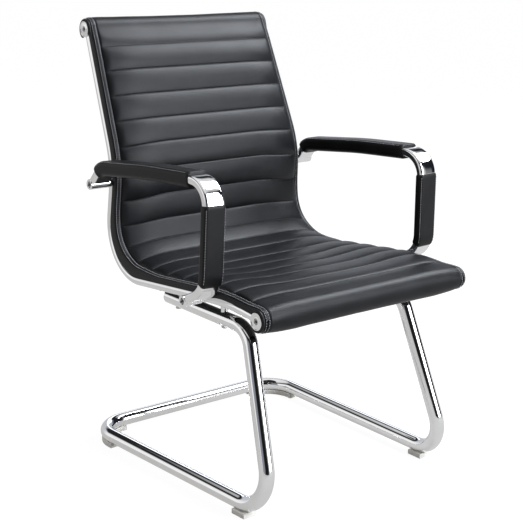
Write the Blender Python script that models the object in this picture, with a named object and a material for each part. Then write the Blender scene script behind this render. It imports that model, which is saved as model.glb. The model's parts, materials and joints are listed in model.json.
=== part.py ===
"""Cantilever visitor chair: bent tube base, two side rails, ribbed leather sling and arm loops.

Units are metres. +Z is up, +Y is backwards and +X is to the right of someone who looks at the
front of the chair. Places in the side view are given as (reach, height): the reach is measured
forwards from the axis of the tube's rear cross run, and the height from the floor.
"""
import math

import bmesh
import bpy
from mathutils import Vector

for old in list(bpy.data.objects):
    bpy.data.objects.remove(old, do_unlink=True)

# Clearances between separate pieces
CLEARANCE = 0.0003
LEANING_CLEARANCE = 0.0008

# Base tube
TUBE_RADIUS = 0.015
TUBE_WALL = 0.002
GLIDE_LIFT = 0.008
TUBE_REAR_HALF_WIDTH = 0.2572
TUBE_FRONT_HALF_WIDTH = 0.2354
TUBE_SHOULDER_HALF_WIDTH = 0.202
TUBE_FRONT_REACH = 0.612
TUBE_SHOULDER_REACH = 0.4958
TUBE_SHOULDER_HEIGHT = 0.3604
TUBE_END_REACH = 0.2308
TUBE_END_HEIGHT = 0.3672
REAR_BEND_RADIUS = 0.072
FLOOR_BEND_RADIUS = 0.067
SHOULDER_BEND_RADIUS = 0.050
PLUG_DEPTH = 0.014
PLUG_CAP = 0.0035

# Glides under the tube
GLIDE_HEIGHT = 0.0105
FRONT_GLIDE_SETBACK = 0.0855
FRONT_GLIDE_LENGTH = 0.037
FRONT_GLIDE_WIDTH = 0.0305
REAR_GLIDE_WIDTH = 0.025
REAR_GLIDE_END_REACH = 0.084
REAR_GLIDE_END_HALF_WIDTH = 0.180
GLIDE_SCREW_RADIUS = 0.002
GLIDE_SCREW_HEAD_RADIUS = 0.004
GLIDE_SCREW_HEAD = 0.0025
GLIDE_SCREW_SUNK = 0.001

# Side rails, as the corners of their centre line in the side view
BACK_TOP_REACH = -0.024
BACK_TOP_HEIGHT = 0.898
LUMBAR_REACH = 0.085
LUMBAR_HEIGHT = 0.622
SEAT_REAR_REACH = 0.062
SEAT_REAR_HEIGHT = 0.388
SEAT_KNEE_REACH = 0.497
SEAT_KNEE_HEIGHT = 0.420
SEAT_FRONT_REACH = 0.597
SEAT_FRONT_HEIGHT = 0.4086
LUMBAR_BEND_RADIUS = 0.200
SEAT_BEND_RADIUS = 0.110
KNEE_BEND_RADIUS = 0.600
RAIL_THICKNESS = 0.009
RAIL_DEPTH = 0.0155

# Half widths of the ribbed panel, to the ends of its seams
BACK_TOP_HALF_WIDTH = 0.2187
SEAT_REAR_HALF_WIDTH = 0.2412
SEAT_FRONT_HALF_WIDTH = 0.2465

# Sling, measured across from the ends of the seams and outwards from the rail line
BORDER_WIDTH = 0.013
RAIL_GAP_FROM_SEAM = 0.005
PAD_BORDER_THICKNESS = 0.013
BACK_EXTRA_THICKNESS = 0.005
BORDER_DROP = 0.009
CORNER_FILL = 0.011
CORNER_FILL_RUN = 0.110
ROLL_END_DROP = 0.006
ROLL_RADIUS = 0.024
ROLL_BLEND = 0.045
CROWN_BACK = 0.009
CROWN_SEAT = 0.015
CROWN_RUN = 0.090
CROWN_SHOULDER = 0.075
CROWN_EDGE = 0.020
CROWN_EDGE_SHARE = 0.45
RIB_HEIGHT = 0.004
SEAM_COUNT = 17
FIRST_SEAM = 0.048
LAST_SEAM = 0.040
SEAM_SKEW = 0.0065
BACK_COVER_THICKNESS = 0.0012
BACK_COVER_INSET = 0.002

# Rods in the rolls, and the bosses at the rail ends
ROD_RADIUS = 0.007
BOSS_RADIUS = 0.0165
BOSS_STAND_OUT = 0.0175
BOSS_RIM = 0.0025
BOSS_FACE_DEPTH = 0.001
BOSS_SCREW_RADIUS = 0.003
BOSS_SCREW_HEAD_RADIUS = 0.0055
BOSS_SCREW_HEAD = 0.006
BOSS_SCREW_LENGTH = 0.030

# Cross bars under the seat, with the bolts that hold the base
CROSS_BAR_RADIUS = 0.008
CROSS_BAR_DROP = 0.003
REAR_BAR_REACH = 0.262
SPACER_RADIUS = 0.007
BASE_BOLT_RADIUS = 0.003
BASE_BOLT_HEAD_RADIUS = 0.0065
BASE_BOLT_HEAD = 0.0035
BASE_BOLT_GRIP = 0.008

# Arm loops
ARM_CENTRE = 0.2735
ARM_LEAN = 0.026
ARM_BAR_WIDTH = 0.043
ARM_BAR_THICKNESS = 0.0175
ARM_BAR_EDGE_RADIUS = 0.0055
ARM_BAR_WALL = 0.002
UPPER_ARM_DROP = 0.060
LOWER_ARM_REACH = 0.419
ARM_HEEL_REACH = 0.116
ARM_HEEL_DROP = 0.022
ARM_CREST_REACH = 0.290
ARM_CREST_DROP = 0.007
ARM_ELBOW_REACH = 0.4877
ARM_ELBOW_HEIGHT = 0.649
ARM_FOOT_REACH = 0.480
ARM_FOOT_HEIGHT = 0.443
ARM_HEEL_RADIUS = 0.040
ARM_CREST_RADIUS = 1.500
ARM_ELBOW_RADIUS = 0.046
ARM_FOOT_RADIUS = 0.055
BARREL_RADIUS = 0.011
BARREL_PROUD = 0.0005
ARM_BOLT_RADIUS = 0.003
ARM_BOLT_HEAD_RADIUS = 0.0055
ARM_BOLT_HEAD = 0.006
ARM_BOLT_SUNK = 0.0015
ARM_BOLT_GRIP = 0.016

# Leather sleeves on the arm loops, measured along the bar from the upper barrel
TOP_SLEEVE_START = 0.032
TOP_SLEEVE_LENGTH = 0.338
TOP_SLEEVE_WIDTH = 0.046
TOP_SLEEVE_THICKNESS = 0.0295
TOP_SLEEVE_EDGE_RADIUS = 0.0095
ELBOW_BARE_LENGTH = 0.0725
POST_BARE_LENGTH = 0.0535
FRONT_SLEEVE_WIDTH = 0.047
FRONT_SLEEVE_THICKNESS = 0.020
FRONT_SLEEVE_EDGE_RADIUS = 0.0065

# Fineness of the round shapes
BEND_STEP = math.radians(12)
TUBE_SIDES = 12
RAIL_SIDES = 12
TURNED_SIDES = 16
SCREW_SIDES = 10
HOLE_SIDES = 12
CORNER_STEPS = 2
ROLL_STEPS = 12

# Values that follow from the sizes above
TUBE_AXIS = GLIDE_LIFT + TUBE_RADIUS
FRONT_GLIDE_REACH = TUBE_FRONT_REACH - FRONT_GLIDE_SETBACK
UPPER_ARM_HEIGHT = ARM_ELBOW_HEIGHT - UPPER_ARM_DROP
ARM_HEEL_HEIGHT = ARM_ELBOW_HEIGHT - ARM_HEEL_DROP
ARM_CREST_HEIGHT = ARM_ELBOW_HEIGHT - ARM_CREST_DROP
FRONT_SLEEVE_LENGTH = ARM_ELBOW_HEIGHT - ARM_FOOT_HEIGHT - POST_BARE_LENGTH
DATUM_Y = (BACK_TOP_REACH + SEAT_FRONT_REACH) / 2
PAD_UNDERSIDE = RAIL_DEPTH / 2 + CLEARANCE
PAD_SURFACE = PAD_UNDERSIDE + PAD_BORDER_THICKNESS
RAIL_OFFSET = RAIL_GAP_FROM_SEAM + RAIL_THICKNESS / 2
RAIL_OUTER = RAIL_GAP_FROM_SEAM + RAIL_THICKNESS
SIDES = {"left": -1, "right": 1}
UP = Vector((0, 0, 1))

CHROME = ((0.78, 0.78, 0.79), 0.10, 1.0)
STEEL = ((0.45, 0.45, 0.46), 0.30, 1.0)
LEATHER = ((0.030, 0.031, 0.034), 0.42, 0.0)
BACKING = ((0.022, 0.022, 0.024), 0.60, 0.0)
PLASTIC = ((0.74, 0.73, 0.70), 0.45, 0.0)


def to_world(point):
    """Turns (x, reach, height) into world coordinates."""
    return Vector((point[0], DATUM_Y - point[1], point[2]))


# Materials and objects

chair = bpy.data.objects.new("chair", None)
bpy.context.scene.collection.objects.link(chair)


def material_for(name, look):
    """A material for one piece, from its colour, roughness and metallic value."""
    colour, roughness, metallic = look
    material = bpy.data.materials.new(name)
    material.use_nodes = True
    shader = material.node_tree.nodes["Principled BSDF"]
    shader.inputs["Base Color"].default_value = (*colour, 1.0)
    shader.inputs["Roughness"].default_value = roughness
    shader.inputs["Metallic"].default_value = metallic
    material.diffuse_color = (*colour, 1.0)
    return material


def object_from(mesh_maker, name):
    """Makes a bmesh, gives it outward normals and links it as an object under the chair."""
    bm = bmesh.new()
    mesh_maker(bm)
    bmesh.ops.recalc_face_normals(bm, faces=bm.faces)
    mesh = bpy.data.meshes.new(name)
    bm.to_mesh(mesh)
    bm.free()
    piece = bpy.data.objects.new(name, mesh)
    bpy.context.scene.collection.objects.link(piece)
    piece.parent = chair
    return piece


def finish_piece(piece, look):
    """Gives a piece its material and its smooth shading."""
    piece.data.materials.append(material_for(piece.name, look))
    piece.data.shade_smooth()
    piece.data.set_sharp_from_angle(angle=math.radians(35))
    return piece


def mark_cutter(piece):
    piece.hide_render = True
    piece.display_type = "WIRE"
    return piece


def cut(piece, cutter):
    modifier = piece.modifiers.new(cutter.name, "BOOLEAN")
    modifier.operation = "DIFFERENCE"
    modifier.solver = "EXACT"
    modifier.object = cutter


# Lines in the side view, kept as spans of (start, heading, length, turn)

def spans_through(corners, radii):
    """A line through the corners, with each inner corner rounded to its radius."""
    points = [Vector(corner) for corner in corners]
    headings = []
    for first, second in zip(points, points[1:]):
        step = second - first
        headings.append(math.atan2(step.y, step.x))
    spans = []
    start = points[0]
    for index, radius in enumerate(radii):
        turn = headings[index + 1] - headings[index]
        tangent = radius * math.tan(abs(turn) / 2)
        corner = points[index + 1]
        before = corner - tangent * direction(headings[index])
        spans.append((start, headings[index], (before - start).length, 0.0))
        spans.append((before, headings[index], radius * abs(turn), turn))
        start = corner + tangent * direction(headings[index + 1])
    spans.append((start, headings[-1], (points[-1] - start).length, 0.0))
    return spans


def direction(heading):
    return Vector((math.cos(heading), math.sin(heading)))


def normal(heading):
    return Vector((-math.sin(heading), math.cos(heading)))


def point_on(spans, index, fraction):
    """The point and the heading at a fraction of one span."""
    start, heading, length, turn = spans[index]
    if turn == 0:
        return start + fraction * length * direction(heading), heading
    radius = length / turn
    here = heading + fraction * turn
    return start + radius * (normal(heading) - normal(here)), here


def offset_line(spans, distance):
    """The same line moved to the side that its normals point to."""
    moved = []
    for start, heading, length, turn in spans:
        moved.append((start + distance * normal(heading), heading, length - distance * turn, turn))
    return moved


def line_length(spans):
    return sum(span[2] for span in spans)


def locate(spans, distance):
    """The span and the fraction of it that lie at a distance along the line."""
    for index, span in enumerate(spans):
        if distance <= span[2]:
            return index, distance / span[2]
        distance -= span[2]
    return len(spans) - 1, 1.0


def stations(spans, start=0.0, end=None, extra=()):
    """Distances along a line where its shape needs a point."""
    total = line_length(spans)
    last = total if end is None else end
    found = [start, last, *extra]
    travelled = 0.0
    for span in spans:
        steps = max(1, math.ceil(abs(span[3]) / BEND_STEP))
        found.extend(travelled + span[2] * step / steps for step in range(steps))
        travelled += span[2]
    inside = sorted(distance for distance in found if start <= distance <= last)
    kept = [inside[0]]
    for distance in inside[1:]:
        if distance - kept[-1] > CLEARANCE:
            kept.append(distance)
    kept[-1] = last
    return kept


def on_line(spans, distance):
    return point_on(spans, *locate(spans, distance))


def distance_where(spans, axis, value):
    """How far along the line its reach (axis 0) or height (axis 1) first passes a value."""
    total = line_length(spans)
    probes = 400
    before = on_line(spans, 0.0)[0][axis] - value
    for probe in range(1, probes + 1):
        after = on_line(spans, total * probe / probes)[0][axis] - value
        if before * after <= 0:
            low = total * (probe - 1) / probes
            return low + total / probes * before / (before - after)
        before = after
    return total


# Solids swept along a path of (point, tangent)

def rounded_path(corners, radii):
    """A path in space through the corners, with arcs at the inner ones."""
    points = [Vector(corner) for corner in corners]
    path = [(points[0], (points[1] - points[0]).normalized())]
    for index, radius in enumerate(radii):
        corner = points[index + 1]
        coming = (corner - points[index]).normalized()
        going = (points[index + 2] - corner).normalized()
        turn = coming.angle(going)
        start = corner - radius * math.tan(turn / 2) * coming
        towards_centre = (going - coming * coming.dot(going)).normalized()
        centre = start + radius * towards_centre
        steps = math.ceil(turn / BEND_STEP)
        for step in range(steps + 1):
            angle = turn * step / steps
            out = math.sin(angle) * coming - math.cos(angle) * towards_centre
            tangent = math.cos(angle) * coming + math.sin(angle) * towards_centre
            path.append((centre + radius * out, tangent))
    path.append((points[-1], (points[-1] - points[-2]).normalized()))
    return path


def section_frames(path, side):
    """The two directions across a path, carried along it without twist."""
    frames = []
    previous = path[0][1]
    across = (side - side.dot(previous) * previous).normalized()
    for _, tangent in path:
        turn = previous.rotation_difference(tangent)
        across = turn @ across
        across = (across - across.dot(tangent) * tangent).normalized()
        frames.append((across, tangent.cross(across)))
        previous = tangent
    return frames


def ring_of(bm, point, frame, section):
    return [bm.verts.new(to_world(point + a * frame[0] + b * frame[1])) for a, b in section]


def join_rings(bm, first, second):
    count = len(first)
    for index in range(count):
        following = (index + 1) % count
        bm.faces.new((first[index], first[following], second[following], second[index]))


def swept(bm, path, section, bore=None, side=Vector((1, 0, 0))):
    """A solid bar along a path, or a tube when the section of its bore is given."""
    frames = section_frames(path, side)
    outer = [ring_of(bm, point, frame, section) for (point, _), frame in zip(path, frames)]
    for first, second in zip(outer, outer[1:]):
        join_rings(bm, first, second)
    if bore is None:
        bm.faces.new(outer[0])
        bm.faces.new(outer[-1])
        return
    inner = [ring_of(bm, point, frame, bore) for (point, _), frame in zip(path, frames)]
    for first, second in zip(inner, inner[1:]):
        join_rings(bm, first, second)
    join_rings(bm, outer[0], inner[0])
    join_rings(bm, outer[-1], inner[-1])


def ellipse(half_width, half_depth, sides):
    """A polygon round an ellipse."""
    corners = []
    for corner in range(sides):
        angle = 2 * math.pi * (corner + 0.5) / sides
        corners.append((half_width * math.cos(angle), half_depth * math.sin(angle)))
    return corners


def rounded_rectangle(width, thickness, radius):
    corners = []
    for quarter in range(4):
        centre_a = (width / 2 - radius) * (1 if quarter in (0, 3) else -1)
        centre_b = (thickness / 2 - radius) * (1 if quarter in (0, 1) else -1)
        for step in range(CORNER_STEPS + 1):
            angle = math.pi / 2 * (quarter + step / CORNER_STEPS)
            corners.append((centre_a + radius * math.cos(angle), centre_b + radius * math.sin(angle)))
    return corners


def in_plane(spans, distances, x_of):
    """Points and tangents in space of a side-view line, with x given by a function of the point."""
    path = []
    for distance in distances:
        place, heading = on_line(spans, distance)
        along = direction(heading)
        step = place + along * ROLL_RADIUS
        tangent = Vector((x_of(step) - x_of(place), along.x * ROLL_RADIUS, along.y * ROLL_RADIUS))
        path.append((Vector((x_of(place), place.x, place.y)), tangent.normalized()))
    return path


# Turned solids and plain cylinders

def turned(bm, profile, sides):
    """A closed solid of revolution round local Z from (radius, z) points."""
    rings = []
    for radius, z in profile:
        if radius == 0:
            rings.append([bm.verts.new((0, 0, z))])
            continue
        ring = []
        for side in range(sides):
            angle = 2 * math.pi * (side + 0.5) / sides
            ring.append(bm.verts.new((radius * math.cos(angle), radius * math.sin(angle), z)))
        rings.append(ring)
    closed = profile[0][0] > 0
    pairs = list(zip(rings, rings[1:] + rings[:1])) if closed else list(zip(rings, rings[1:]))
    for first, second in pairs:
        for side in range(sides):
            following = (side + 1) % sides
            corners = [first[side % len(first)], first[following % len(first)]]
            corners += [second[following % len(second)], second[side % len(second)]]
            unique = list(dict.fromkeys(corners))
            bm.faces.new(unique)


def turned_piece(name, profile, look, centre, axis, sides=TURNED_SIDES):
    """A turned piece whose local Z points along a world direction."""
    piece = object_from(lambda bm: turned(bm, profile, sides), name)
    piece.location = to_world(centre)
    piece.rotation_euler = axis.to_track_quat("Z", "Y").to_euler()
    return finish_piece(piece, look)


def cylinder(bm, start, end, radius, sides=HOLE_SIDES):
    """A plain cylinder in world space between two (x, reach, height) points."""
    low = to_world(start)
    high = to_world(end)
    along = high - low
    turn = along.to_track_quat("Z", "Y")
    ends = []
    for centre in (low, high):
        ring = []
        for corner_x, corner_y in ellipse(radius, radius, sides):
            ring.append(bm.verts.new(centre + turn @ Vector((corner_x, corner_y, 0))))
        ends.append(ring)
    join_rings(bm, ends[0], ends[1])
    bm.faces.new(ends[0])
    bm.faces.new(ends[1])


def cylinders_cutter(name, rods, sides=HOLE_SIDES):
    """One cutter made of several cylinders, each (start, end, radius to the middle of its flats)."""
    def make(bm):
        for start, end, radius in rods:
            cylinder(bm, start, end, radius / math.cos(math.pi / sides), sides)
    return mark_cutter(object_from(make, name))


# Places that several pieces share

rail_line = spans_through(
    [
        (BACK_TOP_REACH, BACK_TOP_HEIGHT),
        (LUMBAR_REACH, LUMBAR_HEIGHT),
        (SEAT_REAR_REACH, SEAT_REAR_HEIGHT),
        (SEAT_KNEE_REACH, SEAT_KNEE_HEIGHT),
        (SEAT_FRONT_REACH, SEAT_FRONT_HEIGHT),
    ],
    [LUMBAR_BEND_RADIUS, SEAT_BEND_RADIUS, KNEE_BEND_RADIUS],
)
SEAT_BEND_SPAN = 3
rail_top = rail_line[0][0]
rail_front = on_line(rail_line, line_length(rail_line))[0]


def width_plane():
    """Slopes of the sling's half width with reach and height, from its three half widths."""
    reach_a = SEAT_REAR_REACH - BACK_TOP_REACH
    height_a = SEAT_REAR_HEIGHT - BACK_TOP_HEIGHT
    grow_a = SEAT_REAR_HALF_WIDTH - BACK_TOP_HALF_WIDTH
    reach_b = SEAT_FRONT_REACH - BACK_TOP_REACH
    height_b = SEAT_FRONT_HEIGHT - BACK_TOP_HEIGHT
    grow_b = SEAT_FRONT_HALF_WIDTH - BACK_TOP_HALF_WIDTH
    scale = reach_a * height_b - reach_b * height_a
    by_reach = (grow_a * height_b - grow_b * height_a) / scale
    by_height = (reach_a * grow_b - reach_b * grow_a) / scale
    return by_reach, by_height


WIDTH_BY_REACH, WIDTH_BY_HEIGHT = width_plane()


def seam_end(place):
    """Half width of the ribbed panel at a (reach, height) place."""
    widened = WIDTH_BY_REACH * (place[0] - BACK_TOP_REACH)
    return BACK_TOP_HALF_WIDTH + widened + WIDTH_BY_HEIGHT * (place[1] - BACK_TOP_HEIGHT)


upper_arm_mount = on_line(rail_line, distance_where(rail_line, 1, UPPER_ARM_HEIGHT))[0]
lower_arm_mount = on_line(rail_line, distance_where(rail_line, 0, LOWER_ARM_REACH))[0]
rear_bar_mount = on_line(rail_line, distance_where(rail_line, 0, REAR_BAR_REACH))[0]

arm_line = spans_through(
    [
        upper_arm_mount,
        (ARM_HEEL_REACH, ARM_HEEL_HEIGHT),
        (ARM_CREST_REACH, ARM_CREST_HEIGHT),
        (ARM_ELBOW_REACH, ARM_ELBOW_HEIGHT),
        (ARM_FOOT_REACH, ARM_FOOT_HEIGHT),
        lower_arm_mount,
    ],
    [ARM_HEEL_RADIUS, ARM_CREST_RADIUS, ARM_ELBOW_RADIUS, ARM_FOOT_RADIUS],
)
top_sleeve_end = TOP_SLEEVE_START + TOP_SLEEVE_LENGTH
front_sleeve_start = top_sleeve_end + ELBOW_BARE_LENGTH
front_sleeve_end = front_sleeve_start + FRONT_SLEEVE_LENGTH


def tube_corners():
    """Corners of the base tube, from the left rear end round the floor to the right one."""
    left = [
        (-TUBE_SHOULDER_HALF_WIDTH, TUBE_END_REACH, TUBE_END_HEIGHT),
        (-TUBE_SHOULDER_HALF_WIDTH, TUBE_SHOULDER_REACH, TUBE_SHOULDER_HEIGHT),
        (-TUBE_FRONT_HALF_WIDTH, TUBE_FRONT_REACH, TUBE_AXIS),
        (-TUBE_REAR_HALF_WIDTH, 0.0, TUBE_AXIS),
    ]
    right = [(-x, reach, height) for x, reach, height in reversed(left)]
    return left + right


TUBE_BENDS = [SHOULDER_BEND_RADIUS, FLOOR_BEND_RADIUS, REAR_BEND_RADIUS]
tube_path = rounded_path(tube_corners(), TUBE_BENDS + TUBE_BENDS[::-1])


def tube_run_height(reach):
    """Height of the tube's axis on the upper runs."""
    share = (reach - TUBE_END_REACH) / (TUBE_SHOULDER_REACH - TUBE_END_REACH)
    return TUBE_END_HEIGHT + share * (TUBE_SHOULDER_HEIGHT - TUBE_END_HEIGHT)


def floor_run_x(reach):
    """Half width of the tube's axis on the floor runs."""
    share = reach / TUBE_FRONT_REACH
    return TUBE_REAR_HALF_WIDTH + share * (TUBE_FRONT_HALF_WIDTH - TUBE_REAR_HALF_WIDTH)


def rear_glide_path(side):
    """The floor line that a rear glide follows, round the corner of the tube."""
    corners = [
        (side * REAR_GLIDE_END_HALF_WIDTH, 0.0, GLIDE_HEIGHT / 2),
        (side * TUBE_REAR_HALF_WIDTH, 0.0, GLIDE_HEIGHT / 2),
        (side * floor_run_x(REAR_GLIDE_END_REACH), REAR_GLIDE_END_REACH, GLIDE_HEIGHT / 2),
    ]
    return rounded_path(corners, [REAR_BEND_RADIUS])


def glide_screw_places():
    """Name, x and reach of the screw in each glide."""
    places = []
    for side_name, side in SIDES.items():
        places.append(("front_" + side_name, side * floor_run_x(FRONT_GLIDE_REACH), FRONT_GLIDE_REACH))
        path = rear_glide_path(side)
        middle = path[len(path) // 2][0]
        places.append(("rear_" + side_name, middle.x, middle.y))
    return places


def cross_bar_centre(mount):
    """Height of a cross bar's axis under the rail line at a mount."""
    return mount.y - CROSS_BAR_DROP


# Base tube, plugs and glides

def base_tube():
    outer = ellipse(TUBE_RADIUS, TUBE_RADIUS, TUBE_SIDES)
    inner = ellipse(TUBE_RADIUS - TUBE_WALL, TUBE_RADIUS - TUBE_WALL, TUBE_SIDES)
    tube = object_from(lambda bm: swept(bm, tube_path, outer, inner), "sled_base_tube")
    holes = []
    for mount in (lower_arm_mount, rear_bar_mount):
        height = tube_run_height(mount.x)
        reach_down = height - 2 * TUBE_RADIUS
        reach_up = height + 2 * TUBE_RADIUS
        for side in SIDES.values():
            x = side * TUBE_SHOULDER_HALF_WIDTH
            low = (x, mount.x, reach_down)
            high = (x, mount.x, reach_up)
            holes.append((low, high, BASE_BOLT_RADIUS + CLEARANCE))
    for _, x, reach in glide_screw_places():
        holes.append(((x, reach, 0.0), (x, reach, TUBE_AXIS), GLIDE_SCREW_RADIUS + CLEARANCE))
    cut(tube, cylinders_cutter("tube_holes", holes))
    finish_piece(tube, CHROME)


def tube_plugs():
    """Domed caps with a spigot, one in each open end of the tube."""
    run = Vector(tube_corners()[0]) - Vector(tube_corners()[1])
    outwards = Vector((0, -run.y, run.z)).normalized()
    spigot = (TUBE_RADIUS - TUBE_WALL) * math.cos(math.pi / TUBE_SIDES) - CLEARANCE
    bevel = PLUG_CAP / 2
    profile = [
        (0, -PLUG_DEPTH),
        (spigot, -PLUG_DEPTH),
        (spigot, CLEARANCE),
        (TUBE_RADIUS, CLEARANCE),
        (TUBE_RADIUS, PLUG_CAP - bevel),
        (TUBE_RADIUS - bevel, PLUG_CAP),
        (0, PLUG_CAP),
    ]
    for side_name, side in SIDES.items():
        centre = (side * TUBE_SHOULDER_HALF_WIDTH, TUBE_END_REACH, TUBE_END_HEIGHT)
        turned_piece("tube_plug_" + side_name, profile, CHROME, centre, outwards)


def glides():
    """Blocks under the front of the floor runs and under the rear corners, saddled to the tube."""
    seat_section = ellipse(TUBE_RADIUS + CLEARANCE, TUBE_RADIUS + CLEARANCE, TUBE_SIDES)
    saddle = object_from(lambda bm: swept(bm, tube_path, seat_section), "glide_saddle")
    mark_cutter(saddle)
    holes = []
    for _, x, reach in glide_screw_places():
        head_room = GLIDE_SCREW_SUNK + GLIDE_SCREW_HEAD + CLEARANCE
        holes.append(((x, reach, -GLIDE_LIFT), (x, reach, head_room), GLIDE_SCREW_HEAD_RADIUS + CLEARANCE))
    head_holes = cylinders_cutter("glide_head_holes", holes)
    holes = []
    for _, x, reach in glide_screw_places():
        holes.append(((x, reach, -GLIDE_LIFT), (x, reach, TUBE_AXIS), GLIDE_SCREW_RADIUS + CLEARANCE))
    shank_holes = cylinders_cutter("glide_shank_holes", holes)
    for side_name, side in SIDES.items():
        half = FRONT_GLIDE_LENGTH / 2
        ends = []
        for reach in (FRONT_GLIDE_REACH - half, FRONT_GLIDE_REACH + half):
            ends.append(Vector((side * floor_run_x(reach), reach, GLIDE_HEIGHT / 2)))
        tangent = (ends[1] - ends[0]).normalized()
        front_path = [(end, tangent) for end in ends]
        block_plans = {
            "glide_front_" + side_name: (front_path, FRONT_GLIDE_WIDTH),
            "glide_rear_" + side_name: (rear_glide_path(side), REAR_GLIDE_WIDTH),
        }
        for name, (path, width) in block_plans.items():
            half_width = width / 2
            half_height = GLIDE_HEIGHT / 2
            section = [
                (-half_height, -half_width),
                (half_height, -half_width),
                (half_height, half_width),
                (-half_height, half_width),
            ]
            glide = object_from(lambda bm: swept(bm, path, section, None, UP), name)
            cut(glide, saddle)
            cut(glide, head_holes)
            cut(glide, shank_holes)
            finish_piece(glide, PLASTIC)


def glide_screws():
    """Countersunk screws up through the glides into the tube's lower wall."""
    tip = GLIDE_LIFT + TUBE_WALL + GLIDE_SCREW_RADIUS
    profile = [
        (0, GLIDE_SCREW_SUNK),
        (GLIDE_SCREW_HEAD_RADIUS, GLIDE_SCREW_SUNK),
        (GLIDE_SCREW_RADIUS, GLIDE_SCREW_SUNK + GLIDE_SCREW_HEAD),
        (GLIDE_SCREW_RADIUS, tip),
        (0, tip),
    ]
    for name, x, reach in glide_screw_places():
        turned_piece("glide_screw_" + name, profile, STEEL, (x, reach, 0.0), UP, SCREW_SIDES)


# Side rails, rods and bosses

def rail_path(side):
    return in_plane(
        rail_line,
        stations(rail_line),
        lambda place: side * (seam_end(place) + RAIL_OFFSET),
    )


def side_rails():
    """Oval bars that carry the sling, ended against the bosses."""
    cuts = []
    for side in SIDES.values():
        for place in (rail_top, rail_front):
            inner = side * seam_end(place)
            outer = side * (seam_end(place) + 2 * BOSS_STAND_OUT)
            ends = ((inner, place.x, place.y), (outer, place.x, place.y))
            cuts.append((*ends, BOSS_RADIUS + CLEARANCE))
        for place in (upper_arm_mount, lower_arm_mount):
            inner = side * seam_end(place)
            outer = side * (seam_end(place) + 2 * BOSS_STAND_OUT)
            ends = ((inner, place.x, place.y), (outer, place.x, place.y))
            cuts.append((*ends, ARM_BOLT_RADIUS + CLEARANCE))
    cutter = cylinders_cutter("rail_cuts", cuts, TURNED_SIDES)
    section = ellipse(RAIL_THICKNESS / 2, RAIL_DEPTH / 2, RAIL_SIDES)
    for side_name, side in SIDES.items():
        rail = object_from(lambda bm: swept(bm, rail_path(side), section), "side_rail_" + side_name)
        cut(rail, cutter)
        finish_piece(rail, CHROME)


def stretcher_rods():
    """Rods inside the rolls, which hold the sling between the bosses."""
    for name, place in (("top_rod", rail_top), ("front_rod", rail_front)):
        half = seam_end(place) + RAIL_GAP_FROM_SEAM - CLEARANCE
        bore = BOSS_SCREW_RADIUS + CLEARANCE
        bore_depth = BOSS_SCREW_LENGTH
        profile = [
            (0, -half + bore_depth),
            (bore, -half + bore_depth),
            (bore, -half),
            (ROD_RADIUS, -half),
            (ROD_RADIUS, half),
            (bore, half),
            (bore, half - bore_depth),
            (0, half - bore_depth),
        ]
        centre = (0.0, place.x, place.y)
        turned_piece(name, profile, STEEL, centre, Vector((1, 0, 0)))


def end_bosses():
    """Round bosses at the rail ends with a raised rim, and the screws into the rods."""
    depth = BOSS_STAND_OUT - RAIL_GAP_FROM_SEAM
    screw_bore = BOSS_SCREW_RADIUS + CLEARANCE
    head_bore = BOSS_SCREW_HEAD_RADIUS + CLEARANCE
    face = depth - BOSS_FACE_DEPTH
    head_floor = face - BOSS_SCREW_HEAD - CLEARANCE
    bevel = BOSS_FACE_DEPTH / 2
    boss = [
        (screw_bore, 0),
        (BOSS_RADIUS, 0),
        (BOSS_RADIUS, depth - bevel),
        (BOSS_RADIUS - bevel, depth),
        (BOSS_RADIUS - BOSS_RIM, depth),
        (BOSS_RADIUS - BOSS_RIM - bevel, face),
        (head_bore, face),
        (head_bore, head_floor),
        (screw_bore, head_floor),
    ]
    head_seat = head_floor + CLEARANCE
    screw = [
        (0, head_seat - BOSS_SCREW_LENGTH),
        (BOSS_SCREW_RADIUS, head_seat - BOSS_SCREW_LENGTH),
        (BOSS_SCREW_RADIUS, head_seat),
        (BOSS_SCREW_HEAD_RADIUS, head_seat),
        (BOSS_SCREW_HEAD_RADIUS, face - bevel),
        (BOSS_SCREW_HEAD_RADIUS - bevel, face),
        (0, face),
    ]
    for end_name, place in (("top", rail_top), ("front", rail_front)):
        for side_name, side in SIDES.items():
            label = end_name + "_" + side_name
            centre = (side * (seam_end(place) + RAIL_GAP_FROM_SEAM), place.x, place.y)
            outwards = Vector((side, 0, 0))
            turned_piece("boss_" + label, boss, CHROME, centre, outwards)
            turned_piece("boss_screw_" + label, screw, STEEL, centre, outwards, SCREW_SIDES)


# Cross bars, spacers and the bolts of the base

def cross_bars():
    """Round bars between the rails, drilled for the bolts of the base and of the arms."""
    plans = {"front_cross_bar": lower_arm_mount, "rear_cross_bar": rear_bar_mount}
    for name, mount in plans.items():
        height = cross_bar_centre(mount)
        half = seam_end(mount) + RAIL_GAP_FROM_SEAM - LEANING_CLEARANCE
        bar = object_from(
            lambda bm: cylinder(
                bm,
                (-half, mount.x, height),
                (half, mount.x, height),
                CROSS_BAR_RADIUS,
                TURNED_SIDES,
            ),
            name,
        )
        holes = []
        for side in SIDES.values():
            x = side * TUBE_SHOULDER_HALF_WIDTH
            low = (x, mount.x, height - 2 * CROSS_BAR_RADIUS)
            high = (x, mount.x, height - CROSS_BAR_RADIUS + BASE_BOLT_GRIP + 2 * CLEARANCE)
            holes.append((low, high, BASE_BOLT_RADIUS + CLEARANCE))
            if mount == lower_arm_mount:
                inner = side * (half - ARM_BOLT_GRIP - CLEARANCE)
                outer = side * (half + ARM_BOLT_GRIP)
                ends = ((inner, mount.x, mount.y), (outer, mount.x, mount.y))
                holes.append((*ends, ARM_BOLT_RADIUS + CLEARANCE))
        cut(bar, cylinders_cutter(name + "_holes", holes))
        finish_piece(bar, STEEL)


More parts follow.
